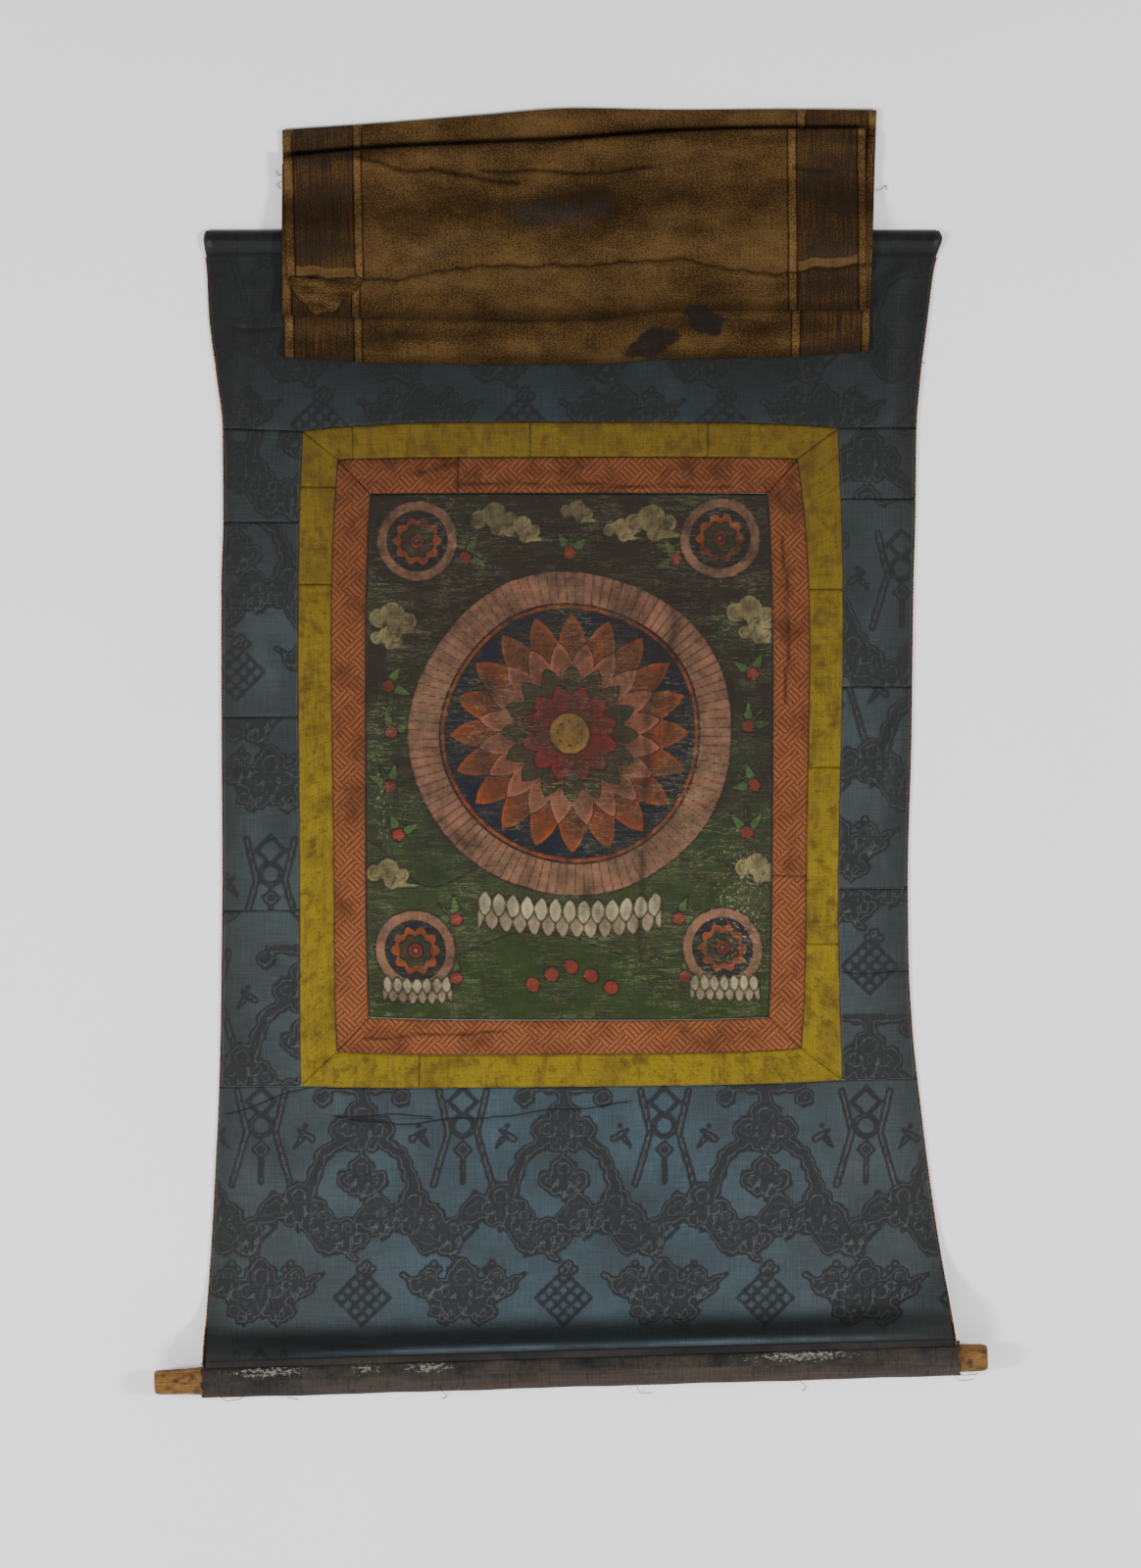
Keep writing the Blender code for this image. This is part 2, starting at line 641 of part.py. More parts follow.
def sleeve():
    """The cloth tube sewn round the roller, open at both ends."""
    along = np.linspace(0.0, SLEEVE_LENGTH, SLEEVE_RINGS)
    slack = (1 + np.sin(np.arange(SLEEVE_RINGS) * SLEEVE_RIPPLE_TURN)) / 2
    radius = SLEEVE_RADIUS - SLEEVE_RIPPLE * slack
    profile = list(zip(along, radius))
    piece = turned("roller_sleeve", profile, SLEEVE_FACETS, SLEEVE_CLOTH, DULL_CLOTH)
    thicken(piece, SLEEVE_WALL, offset=-1.0)


def fold_line(fold, across):
    """Height up the page of a fold line at a share of the veil's width."""
    return smooth_through(FOLD_STATIONS, fold[1:8], across)


def veil_ground(y):
    """Height of what the veil lies on."""
    return smooth_through([r.y for r in VEIL_GROUND], [r.height for r in VEIL_GROUND], y)


def puff(number, y, across):
    """Extra room inside a fold, most at the fold line and gone a little way in."""
    fold = VEIL_FOLDS[number]
    distance = np.abs(y - fold_line(fold, across))
    return fold.puff * (1 - eased(distance / PUFF_REACH))


def layer_height(layer, x, y, across):
    """Middle height of a layer of the veil: the ground, then each layer under it."""
    height = veil_ground(y) + FIRST_LAYER_HEIGHT
    over_back_layer = eased((y - BACK_LAYER_SETTLES) / (BACK_LAYER_REACHES - BACK_LAYER_SETTLES))
    for below in range(layer):
        share = over_back_layer if below == 0 else 1.0
        height = height + share * LAYER_PITCH + puff(below + 1, y, across)
    if layer == len(VEIL_FOLDS) - 2:
        height = height + front_creases(x, y)
    return height


def front_creases(x, y):
    """Soft ridges of the front layer: a bell across each crease, fading at its ends."""
    total = np.zeros_like(x)
    for row in FRONT_CREASES:
        run = hypot(row.x1 - row.x0, row.y1 - row.y0)
        ux, uy = (row.x1 - row.x0) / run, (row.y1 - row.y0) / run
        along = (x - row.x0) * ux + (y - row.y0) * uy
        off = (x - row.x0) * -uy + (y - row.y0) * ux
        beyond = np.maximum(np.maximum(-along, along - run), 0.0)
        total = total + row.height * np.exp(-(off / row.width) ** 2 - (beyond / row.width) ** 2)
    return total


def layer_shares(first, last):
    """Shares of a layer's run that have a row of points: its ends and the stations."""
    low, high = min(first, last) + STATION_MARGIN, max(first, last) - STATION_MARGIN
    inner = [(y - first) / (last - first) for y in LAYER_STATIONS if low < y < high]
    return sorted([0.0, 1.0, *inner])


def veil_section(across):
    """The folded path of the veil at a share of its width: X, Y and Z, one row for each
    point along the path and one column for each share."""
    rows = []
    for layer in range(len(VEIL_FOLDS) - 1):
        start, end = VEIL_FOLDS[layer], VEIL_FOLDS[layer + 1]
        first, last = fold_line(start, across), fold_line(end, across)
        heading = 1.0 if layer % 2 == 0 else -1.0
        room = LAYER_PITCH / 2
        first = first + heading * (room + start.puff / 2) * (layer > 0)
        last = last - heading * (room + end.puff / 2) * (layer < len(VEIL_FOLDS) - 2)
        for share in layer_shares(start.d, end.d):
            y = first + (last - first) * share
            x = side_to_side(start, end, share, across)
            rows.append((x, y, layer_height(layer, x, y, across)))
        if layer < len(VEIL_FOLDS) - 2:
            x = side_to_side(start, end, 1.0, across)
            low = layer_height(layer, x, last, across)
            high = layer_height(layer + 1, x, last, across)
            for angle in ARC_ANGLES:
                reach = (room + end.puff / 2) * sin(angle * pi / 180)
                swing = (1 - cos(angle * pi / 180)) / 2
                rows.append((x, last + heading * reach, low + (high - low) * swing))
    return [np.array(column) for column in zip(*rows)]


def side_to_side(start, end, share, across):
    """X at a share of the width, between the edges that two fold lines give."""
    left = start.left + (end.left - start.left) * share
    right = start.right + (end.right - start.right) * share
    return left + (right - left) * across


def veil():
    """The silk veil: a centre, two dark borders and four ochre strips, folded together."""
    width = VEIL_FOLDS[0].right - VEIL_FOLDS[0].left
    for strip in VEIL_STRIPS:
        margin = GAP / 2 / width
        start = strip.start + (margin if strip.start > 0 else 0.0)
        end = strip.end - (margin if strip.end < 1 else 0.0)
        stations = np.linspace(start, end, strip.columns + 1)
        x, y, z = veil_section(stations)
        rows = len(x) - 1

        def place(u, v, columns=strip.columns, rows=rows, x=x, y=y, z=z):
            column = np.rint(u * columns).astype(int)
            row = np.rint(v * rows).astype(int)
            return x[row, column], y[row, column], z[row, column]

        mesh = grid_surface(strip.name, strip.columns, rows, place)
        piece = add_object(strip.name, mesh, strip.color, DULL_CLOTH)
        thicken(piece, VEIL_THICK, offset=0.0)


def build():
    """Makes every piece of the scroll."""
    clear_scene()
    painting()
    border_strips("orange", YELLOW_INNER, PAINTING_EDGE, ORANGE_JOINS, ORANGE_SILK)
    border_strips("yellow", YELLOW_OUTER, YELLOW_INNER, YELLOW_JOINS, YELLOW_SILK)
    side_pieces()
    top_panel()
    bottom_panel()
    edge_cords()
    sleeve()
    roller()
    veil()


build()
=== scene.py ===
"""A thangka scroll painting lying face up, dressed in cloth, thread and wood.

X runs to the right of the painting, Y to its head, Z up. The tables are in
millimetres, and MM turns them into metres. UV maps are in millimetres of cloth.
"""

from collections import namedtuple
from functools import partial
from math import atan2, cos, hypot, pi, sin

import bpy
import numpy as np
from bpy.props import FloatProperty, FloatVectorProperty, PointerProperty
from bpy.types import Operator, Panel, PropertyGroup
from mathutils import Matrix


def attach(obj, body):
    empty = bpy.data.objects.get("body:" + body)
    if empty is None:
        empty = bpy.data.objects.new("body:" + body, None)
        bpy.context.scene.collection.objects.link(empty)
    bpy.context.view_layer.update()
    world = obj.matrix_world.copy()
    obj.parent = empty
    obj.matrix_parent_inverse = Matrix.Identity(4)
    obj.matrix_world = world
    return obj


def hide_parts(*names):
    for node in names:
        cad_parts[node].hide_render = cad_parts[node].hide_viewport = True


bl_info = {
    "name": "Thangka scroll painting",
    "version": (1, 0, 0),
    "blender": (4, 5, 0),
    "location": "3D View > Sidebar > Scroll",
    "description": "Dresses a rolled scroll painting: silks, painted cotton, veil, thread and roller",
    "category": "Object",
}

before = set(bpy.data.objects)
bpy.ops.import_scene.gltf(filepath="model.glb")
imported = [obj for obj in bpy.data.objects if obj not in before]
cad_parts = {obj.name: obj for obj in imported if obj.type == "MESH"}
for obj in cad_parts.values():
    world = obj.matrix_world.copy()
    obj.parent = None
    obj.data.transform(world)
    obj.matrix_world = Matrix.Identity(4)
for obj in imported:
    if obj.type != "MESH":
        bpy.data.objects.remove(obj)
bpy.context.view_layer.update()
MM = 0.001

# The camera stands straight above the middle of the picture
VIEW_CENTRE = (-0.00045, -0.02835)
VIEW_HEIGHT = 1.44
CAMERA_DISTANCE = 7.0
SENSOR = 36.0

# Sides of the mounting, from the head down
SideRow = namedtuple("SideRow", "y left right")
OUTLINE = (
    SideRow(479.3, -336.0, 338.5), SideRow(473.0, -337.6, 341.2), SideRow(462.0, -336.6, 338.0),
    SideRow(442.0, -334.4, 333.0), SideRow(403.0, -332.6, 328.1), SideRow(345.0, -325.4, 320.9),
    SideRow(297.0, -320.0, 317.3), SideRow(213.0, -319.4, 316.2), SideRow(154.0, -321.2, 314.6),
    SideRow(8.0, -320.9, 312.6), SideRow(-115.0, -320.2, 309.4), SideRow(-185.0, -320.9, 310.0),
    SideRow(-255.0, -321.8, 313.7), SideRow(-325.0, -323.8, 321.2), SideRow(-377.0, -326.3, 327.6),
    SideRow(-444.0, -329.9, 337.1), SideRow(-512.0, -334.4, 348.4), SideRow(-554.0, -337.1, 354.6),
    SideRow(-580.0, -337.3, 356.4),
)
HEAD_Y = 479.3
WAIST = OUTLINE[6]
OUTLINE_UP = OUTLINE[::-1]

# Sewn edges round the painting: ends, outward bow and how far the bow leans
Edge = namedtuple("Edge", "x0 y0 x1 y1 bow lean")
YELLOW_OUTER = {
    "top": Edge(-246.2, 295.7, 244.9, 298.4, 6.8, 0.6),
    "bottom": Edge(-248.0, -305.6, 249.3, -300.2, 3.4, 0.0),
    "left": Edge(-246.2, 295.7, -248.0, -305.6, 2.8, 1.2),
    "right": Edge(244.9, 298.4, 249.3, -300.2, 0.6, 3.2),
}
YELLOW_INNER = {
    "top": Edge(-213.8, 269.6, 207.5, 270.5, 1.8, 0.0),
    "bottom": Edge(-214.7, -274.1, 211.1, -271.1, 4.0, 0.0),
    "left": Edge(-213.8, 269.6, -214.7, -274.1, 4.8, 1.6),
    "right": Edge(207.5, 270.5, 211.1, -271.1, 8.6, 2.4),
}
PAINTING_EDGE = {
    "top": Edge(-184.1, 238.1, 180.5, 238.4, 0.6, 0.0),
    "bottom": Edge(-185.4, -242.6, 181.4, -242.6, 2.8, 0.0),
    "left": Edge(-184.1, 238.1, -185.4, -242.6, 3.9, 0.4),
    "right": Edge(180.5, 238.4, 181.4, -242.6, 4.2, 0.6),
}
YELLOW_JOINS = {"top": (0.093, 0.425, 0.757), "right": (0.247, 0.520, 0.791), "bottom": (0.219,),
                "left": (0.085, 0.234)}
ORANGE_JOINS = {"top": (0.261,), "right": (0.707,), "bottom": (), "left": ()}
LEFT_JOINS = (212.0, 33.0, -144.5)
RIGHT_JOINS = (233.6, 60.8, -124.0)
TOP_PANEL_Y = (297.9, 298.8)
BOTTOM_PANEL_Y = (-306.2, -298.4)
CORNER_SHARE = 0.15
SEAM_GAP = 0.2
EDGE_MARGIN = 1.2
# Each cloth's width and height, as its edge distances take them, and the cells of its grid
STRIP_WIDTH, STRIP_STEP, STRIP_ROWS = 32.0, 3.0, 12
PAINTING_SIZE, PAINTING_CELLS = (368.0, 481.0), (184, 236)
SIDE_WIDTH, SIDE_COLUMNS, SIDE_STEP = 68.0, 28, 2.4
HEAD_SIZE, HEAD_COLUMNS = (674.0, 181.0), 270
FOOT_SIZE, FOOT_CELLS = (686.0, 268.0), (286, 120)

# The stuffed hem along the head: height against distance from the edge
HEM_INSET = (0.0, 1.6, 4.6, 9.0, 14.0, 18.0, 21.0)
HEM_HEIGHT = (2.4, 4.8, 7.4, 8.4, 7.2, 4.4, 1.6)
HEM_ROUND = 7.0

# The roller, and how the bottom panel climbs to the seam on its sleeve
SLEEVE_RADIUS = 16.6
SLEEVE_THICK = 0.0009
SLEEVE_RINGS, SLEEVE_SIDES = 260, 56
ROLLER_FACETS, ROLLER_SIDES = 14, 70
SLEEVE_LEFT = (-337.4, -575.3)
SLEEVE_RIGHT = (355.4, -554.4)
ROLLER_TILT = atan2(SLEEVE_RIGHT[1] - SLEEVE_LEFT[1], SLEEVE_RIGHT[0] - SLEEVE_LEFT[0])
SLEEVE_LENGTH = hypot(SLEEVE_RIGHT[0] - SLEEVE_LEFT[0], SLEEVE_RIGHT[1] - SLEEVE_LEFT[1])
RISE_AWAY = (11.6, 15.0, 19.0, 23.0, 27.5, 32.5, 38.5, 46.0, 56.0, 70.0)
RISE_HEIGHT = (28.8, 29.2, 29.0, 27.0, 22.5, 15.6, 8.8, 4.2, 1.4, 0.0)
# Where the sleeve's cloth laps over the panel's end: distance from the axis, and the lap mark there
LAP_AWAY, LAP_LEVEL = 18.5, 20.0
CLIMB_X = (-337.0, -285.0, -200.0, 190.0, 290.0, 356.0)
CLIMB_STRETCH = (1.7, 1.15, 1.0, 1.0, 1.5, 2.7)
LEFT_KNOB = ((0.0, 13.6), (4.0, 12.9), (14.0, 12.0), (37.0, 11.7), (42.0, 11.2), (44.0, 9.6))
RIGHT_KNOB = ((0.0, 13.4), (6.0, 13.0), (20.0, 12.8), (24.0, 12.2), (26.0, 10.4))

# Where the sleeve's top is worn pale: distance along it and half width
SLEEVE_WEAR = ((62.0, 46.0), (208.0, 26.0), (548.0, 66.0), (150.0, 12.0))

# Soft unevenness of the flat cloth, and listed creases: ends, height, half width
BASE_LIFT = 0.7
CreaseRow = namedtuple("CreaseRow", "x0 y0 x1 y1 height width")
CREASES = (
    CreaseRow(-313.7, -330.8, -241.7, -306.9, -0.8, 1.9),
    CreaseRow(-217.4, -333.5, -162.5, -340.7, -0.8, 1.9),
    CreaseRow(-162.5, -340.7, -73.4, -333.5, -0.8, 1.9),
    CreaseRow(-73.4, -333.5, 52.7, -321.3, -0.7, 1.9),
    CreaseRow(-213.8, -332.6, -128.3, -332.6, -0.6, 1.6),
    CreaseRow(-307.4, 390.2, -265.1, 390.2, -0.6, 1.8),
    CreaseRow(250.0, -201.2, 309.0, -201.6, -0.5, 1.6),
    CreaseRow(-290.0, 425.0, -300.0, 300.0, 1.3, 9.0),
    CreaseRow(300.0, 440.0, 285.0, 310.0, 1.4, 10.0),
    CreaseRow(-285.0, 120.0, -262.0, 40.0, 1.2, 9.0),
    CreaseRow(296.0, 20.0, 268.0, -80.0, 1.3, 9.0),
    CreaseRow(-290.0, -380.0, -120.0, -420.0, 1.2, 16.0),
    CreaseRow(60.0, -410.0, 300.0, -370.0, 1.4, 18.0),
)

# Old darning in the borders: puckered lines of stitches
DARNS = (
    CreaseRow(194.0, 197.6, 198.5, 154.4, -0.3, 1.3),
    CreaseRow(198.5, 154.4, 199.4, 86.0, -0.3, 1.3),
    CreaseRow(199.4, 86.0, 196.7, 44.6, -0.3, 1.3),
    CreaseRow(-145.4, 256.0, -104.0, 266.8, -0.3, 1.2),
    CreaseRow(-104.0, 248.0, 146.3, 244.0, -0.3, 1.3),
    CreaseRow(-190.0, -262.0, -60.0, -256.0, -0.3, 1.0),
)

# Ground under the veil, its fold lines at seven stations across, and its pieces
GROUND_Y = (340.0, 434.0, 449.0, 458.0, 464.0, 471.0, 478.0, 484.0, 492.0, 507.0, 530.0, 545.0, 600.0)
GROUND_HEIGHT = (1.85, 1.85, 3.0, 6.4, 8.5, 8.9, 8.7, 7.4, 5.0, 1.9, 0.2, 0.0, 0.0)
FOLD_STATIONS = (0.0, 0.17, 0.335, 0.5, 0.665, 0.83, 1.0)
FoldRow = namedtuple("FoldRow", "a b c d e f g left right puff")
VEIL_FOLDS = (
    FoldRow(466.0, 466.0, 466.5, 467.0, 467.0, 466.5, 466.0, -262.0, 272.0, 0.0),
    FoldRow(571.8, 578.2, 585.4, 591.6, 590.3, 590.8, 590.0, -265.0, 280.4, 0.5),
    FoldRow(363.1, 357.8, 356.3, 356.5, 361.4, 363.2, 368.9, -262.4, 273.6, 2.4),
    FoldRow(540.0, 547.0, 551.5, 555.0, 561.0, 565.0, 566.0, -265.0, 279.0, 0.4),
    FoldRow(401.8, 399.1, 397.8, 396.9, 406.1, 406.3, 406.8, -265.0, 271.4, 2.2),
    FoldRow(546.8, 554.9, 558.9, 563.0, 569.7, 572.4, 573.0, -263.6, 269.8, 1.6),
    FoldRow(436.0, 434.2, 446.0, 446.8, 451.8, 439.6, 447.7, -260.8, 270.6, 0.0),
)
LAYER_PITCH = 1.9
PUFF_REACH = 26.0
FIRST_LAYER_HEIGHT = 0.45
BACK_LAYER_SETTLES, BACK_LAYER_REACHES = 438.0, 462.0
# Spacing of the rows along each layer of the veil: finest where it shows
VEIL_ROW_STEPS = (6.0, 6.0, 4.0, 6.0, 3.0, 1.8)
FRONT_LAYER = len(VEIL_FOLDS) - 2
VEIL_COLUMN_STEP = 2.8
ARC_ANGLES = (30.0, 60.0, 90.0, 120.0, 150.0)
FRONT_CREASES = (
    CreaseRow(-195.0, 546.0, -149.0, 533.0, 1.6, 9.0),
    CreaseRow(-149.0, 533.0, -49.0, 521.0, 2.0, 9.0),
    CreaseRow(-49.0, 521.0, 75.0, 536.0, 1.2, 8.0),
    CreaseRow(75.0, 500.0, 200.0, 521.0, 1.4, 10.0),
    CreaseRow(-180.0, 470.0, 60.0, 482.0, 1.0, 12.0),
    CreaseRow(141.0, 590.0, 200.0, 573.0, 1.6, 5.0),
    CreaseRow(-240.0, 440.0, -196.0, 420.0, 1.6, 6.0),
    CreaseRow(-250.0, 428.0, -205.0, 436.0, 1.2, 5.0),
)
# Lines of painted shade along the creases of the veil's front layer: ends, height, half width
CREASE_SHADE_LINES = (
    CreaseRow(-195.0, 546.0, -178.0, 543.0, -1.0, 1.8),
    CreaseRow(-178.0, 543.0, -149.0, 533.0, -1.0, 2.0),
    CreaseRow(-149.0, 533.0, -128.0, 536.0, -1.0, 1.8),
    CreaseRow(-128.0, 536.0, -92.0, 529.0, -1.0, 2.1),
    CreaseRow(-92.0, 529.0, -49.0, 521.0, -1.0, 2.3),
    CreaseRow(-82.0, 534.0, 16.0, 532.0, -1.0, 1.8),
    CreaseRow(16.0, 532.0, 75.0, 536.0, -1.0, 1.8),
    CreaseRow(141.0, 590.0, 200.0, 573.0, -1.0, 1.8),
    CreaseRow(204.0, 537.0, 240.0, 533.0, -1.0, 1.8),
)
VeilRow = namedtuple("VeilRow", "name start end slot")
VEIL_STRIPS = (
    VeilRow("veil_edge_left", 0.0, 0.016, "veil_ochre_silk"),
    VeilRow("veil_border_left", 0.016, 0.119, "veil_border_silk"),
    VeilRow("veil_strip_left", 0.119, 0.133, "veil_ochre_silk"),
    VeilRow("veil_centre", 0.133, 0.866, "veil_silk"),
    VeilRow("veil_strip_right", 0.866, 0.881, "veil_ochre_silk"),
    VeilRow("veil_border_right", 0.881, 0.986, "veil_border_silk"),
    VeilRow("veil_edge_right", 0.986, 1.0, "veil_ochre_silk"),
)

# Loose threads lying beside the cloth: points in X, Y, Z
LOOSE_THREADS = (
    ((-320.9, -591.0, 9.0), (-314.0, -594.5, 2.5), (-304.0, -593.0, 0.8), (-300.0, -588.0, 0.8),
     (-306.0, -584.0, 1.0)),
    ((-262.0, -588.0, 8.0), (-258.0, -592.0, 2.0), (-250.0, -593.5, 0.8)),
    ((-120.0, -584.0, 7.0), (-114.0, -590.0, 1.5), (-118.0, -593.0, 0.8)),
    ((60.0, -580.0, 7.0), (64.0, -587.0, 1.5), (74.0, -588.0, 0.8)),
    ((210.0, -576.0, 7.0), (216.0, -582.0, 1.2), (212.0, -586.0, 0.8)),
    ((352.0, -566.0, 9.0), (362.0, -571.0, 3.0), (374.0, -570.0, 0.9)),
    ((350.0, -568.0, 8.0), (358.0, -576.0, 2.0), (370.0, -575.0, 0.8)),
    ((280.0, 516.0, 2.4), (286.0, 518.0, 1.2), (289.0, 521.0, 0.6), (290.5, 517.0, 0.6)),
    ((316.0, 362.0, 1.4), (321.0, 360.0, 1.0), (325.0, 357.5, 0.6)),
    ((-263.0, 532.0, 3.0), (-269.0, 530.0, 1.2), (-271.0, 535.0, 0.6)),
    ((-263.0, 526.0, 3.0), (-270.0, 522.0, 1.0), (-267.0, 518.0, 0.6)),
)


def linear(hex_code):
    """An sRGB hex colour turned linear."""
    values = np.array([int(hex_code[i:i + 2], 16) for i in (1, 3, 5)]) / 255
    turned = np.where(values <= 0.04045, values / 12.92, ((values + 0.055) / 1.055) ** 2.4)
    return (*(float(v) for v in turned), 1.0)


def colour(name, hex_code, description):
    """A colour that a user may change."""
    return FloatVectorProperty(name=name, description=description, subtype="COLOR", size=3,
                               min=0.0, max=1.0, default=linear(hex_code)[:3])


def length(name, default, description):
    """A size that a user may change."""
    return FloatProperty(name=name, description=description, default=default, min=0.0,
                         subtype="DISTANCE", unit="LENGTH")


class ScrollSizes(PropertyGroup):
    """Sizes of the cloth and thread."""

    mount_thick: length("Mounting", 0.0011, "Thickness of the silk mounting with its backing")
    painting_thick: length("Painting", 0.0010, "Thickness of the sized and painted cotton")
    veil_thick: length("Veil", 0.0005, "Thickness of the folded silk veil")
    cord_radius: length("Edge thread", 0.0009, "Radius of the overcast edge")
    stitch_pitch: length("Stitch pitch", 0.0030, "Distance between two overcast stitches")
    thread_radius: length("Loose thread", 0.0003, "Radius of a loose thread")
    wave: length("Unevenness", 0.0016, "Height of the soft waves in the flat cloth")


class ScrollColours(PropertyGroup):
    """Colours of the cloth, paint, thread and wood."""

    damask: colour("Damask ground", "#363E3F", "Grey-blue ground of the damask towards its sides")
    damask_middle: colour("Damask middle", "#33434B", "Bluer ground down the middle")
    damask_motif: colour("Damask figure", "#1E1E1F", "Brown-grey figures woven into the damask")
    damask_rim: colour("Damask rim", "#121619", "Dark rim of each figure")
    damask_line: colour("Damask line", "#4E5150", "Thin light line inside each figure")
    damask_grime: colour("Damask grime", "#1A1B1A", "Dirt on the upper cloth")
    yellow: colour("Yellow satin", "#705F14", "Outer border")
    yellow_grime: colour("Yellow grime", "#3C2A12", "Dirt on the yellow border")
    orange: colour("Orange silk", "#784A2D", "Inner border")
    orange_fret: colour("Orange fret", "#502516", "Woven key-fret lines")
    paint_brown: colour("Brown ground", "#231C14", "Upper ground of the painting")
    paint_green: colour("Green ground", "#243018", "Green ground of the painting")
    veil: colour("Veil", "#523D22", "Gold-brown silk")
    veil_dark: colour("Veil mottling", "#0E0802", "Dark mottling of the veil")
    veil_border: colour("Veil border", "#48341E", "Dark ribbed silk")
    veil_ochre: colour("Veil strip", "#664C2C", "Ochre edging")
    sleeve: colour("Sleeve", "#423A33", "Worn cloth round the roller")
    wood: colour("Roller", "#7C5828", "Bare softwood")
    thread: colour("Thread", "#6A4422", "Overcast thread")
    floor: colour("Floor", "#F6F4F5", "Pale floor")


def smooth_through(stations, values, at):
    """A cubic between neighbouring pairs, its slope at a pair the harmonic mean of the
    slopes beside it, or level where they turn."""
    stations, values = np.asarray(stations, float), np.asarray(values, float)
    secant = np.diff(values) / np.diff(stations)
    turn = secant[:-1] * secant[1:]
    total = np.where(secant[:-1] + secant[1:] == 0, 1.0, secant[:-1] + secant[1:])
    slope = np.concatenate([secant[:1], np.where(turn > 0, 2 * turn / total, 0.0), secant[-1:]])
    at = np.clip(np.asarray(at, float), stations[0], stations[-1])
    i = np.clip(np.searchsorted(stations, at) - 1, 0, len(stations) - 2)
    span = stations[i + 1] - stations[i]
    t = (at - stations[i]) / span
    return ((2 * t**3 - 3 * t**2 + 1) * values[i] + (t**3 - 2 * t**2 + t) * span * slope[i]
            + (3 * t**2 - 2 * t**3) * values[i + 1] + (t**3 - t**2) * span * slope[i + 1])


def eased(t):
    """0 to 1 with a soft start and end: 3t^2 - 2t^3."""
    t = np.clip(t, 0.0, 1.0)
    return t * t * (3 - 2 * t)


def left_side(y):
    """Left edge of the mounting at a height."""
    return smooth_through([r.y for r in OUTLINE_UP], [r.left for r in OUTLINE_UP], y)


def right_side(y):
    """Right edge of the mounting at a height."""
    return smooth_through([r.y for r in OUTLINE_UP], [r.right for r in OUTLINE_UP], y)


def edge_points(ring, side, t):
    """A straight line between an edge's ends plus its bow, 1 - (2t-1)^4, and its lean."""
    edge = ring[side]
    out = edge.bow * (1 - (2 * t - 1) ** 4) + edge.lean * np.sin(2 * pi * t)
    ox, oy = {"top": (0, 1), "bottom": (0, -1), "left": (-1, 0), "right": (1, 0)}[side]
    return edge.x0 + (edge.x1 - edge.x0) * t + ox * out, edge.y0 + (edge.y1 - edge.y0) * t + oy * out


def away_from_roller(x, y):
    """Distance on the page from the roller's axis, to the head."""
    return (y - SLEEVE_LEFT[1]) * cos(ROLLER_TILT) - (x - SLEEVE_LEFT[0]) * sin(ROLLER_TILT)


def roller_line(x, away):
    """Y of the line that lies this far from the roller's axis."""
    return SLEEVE_LEFT[1] + ((x - SLEEVE_LEFT[0]) * sin(ROLLER_TILT) + away) / cos(ROLLER_TILT)


def rise(x, y):
    """Height of the mounting's underside: flat, then up to the seam on the sleeve."""
    stretch = smooth_through(CLIMB_X, CLIMB_STRETCH, x)
    away = RISE_AWAY[0] + (away_from_roller(x, y) - RISE_AWAY[0]) / stretch
    height = smooth_through(RISE_AWAY, RISE_HEIGHT, away)
    return np.where(away >= RISE_AWAY[-1], 0.0, np.maximum(height, 0.0))


def crease_field(x, y, rows):
    """Sum of bells exp(-(off/width)^2) across each crease, fading beyond its ends; also
    how strongly each point lies in a sunk crease, and its signed distance from the nearest."""
    height, mark, nearest = np.zeros_like(x), np.zeros_like(x), np.full_like(x, 200.0)
    for row in rows:
        run = hypot(row.x1 - row.x0, row.y1 - row.y0)
        ux, uy = (row.x1 - row.x0) / run, (row.y1 - row.y0) / run
        along = (x - row.x0) * ux + (y - row.y0) * uy
        off = (x - row.x0) * -uy + (y - row.y0) * ux + 1.2 * np.sin(along / 11.0)
        beyond = np.maximum(np.maximum(-along, along - run), 0.0)
        bell = np.exp(-(off / row.width) ** 2 - (beyond / row.width) ** 2)
        height = height + row.height * bell
        if row.height < 0:
            mark = np.maximum(mark, bell)
            apart = np.where(off < 0, -1.0, 1.0) * np.hypot(off, beyond)
            nearest = np.where(np.abs(apart) < np.abs(nearest), apart, nearest)
    return height, mark, nearest


def lie(x, y, wave):
    """The flat cloth's soft unevenness: three crossing sines and the placed creases, over
    a small lift that keeps it off the floor."""
    waves = (np.sin(x / 61 + y / 143 + 0.6) + 0.8 * np.sin(y / 47 - x / 170 + 1.9)
             + 0.4 * np.sin(x / 29 - y / 38 + 0.4) + 0.22 * np.sin(y / 11 + x / 90))
    height, mark, nearest = crease_field(x, y, CREASES)
    return BASE_LIFT + wave * (0.5 + waves / 4.84) + np.maximum(height, -BASE_LIFT), mark, nearest


def step_lengths(points):
    """Distances travelled along the rows and along the columns of a grid of points."""
    across = np.linalg.norm(np.diff(points, axis=1), axis=2)
    along = np.linalg.norm(np.diff(points, axis=0), axis=2)
    return (np.pad(np.cumsum(across, axis=1), ((0, 0), (1, 0))),
            np.pad(np.cumsum(along, axis=0), ((1, 0), (0, 0))))


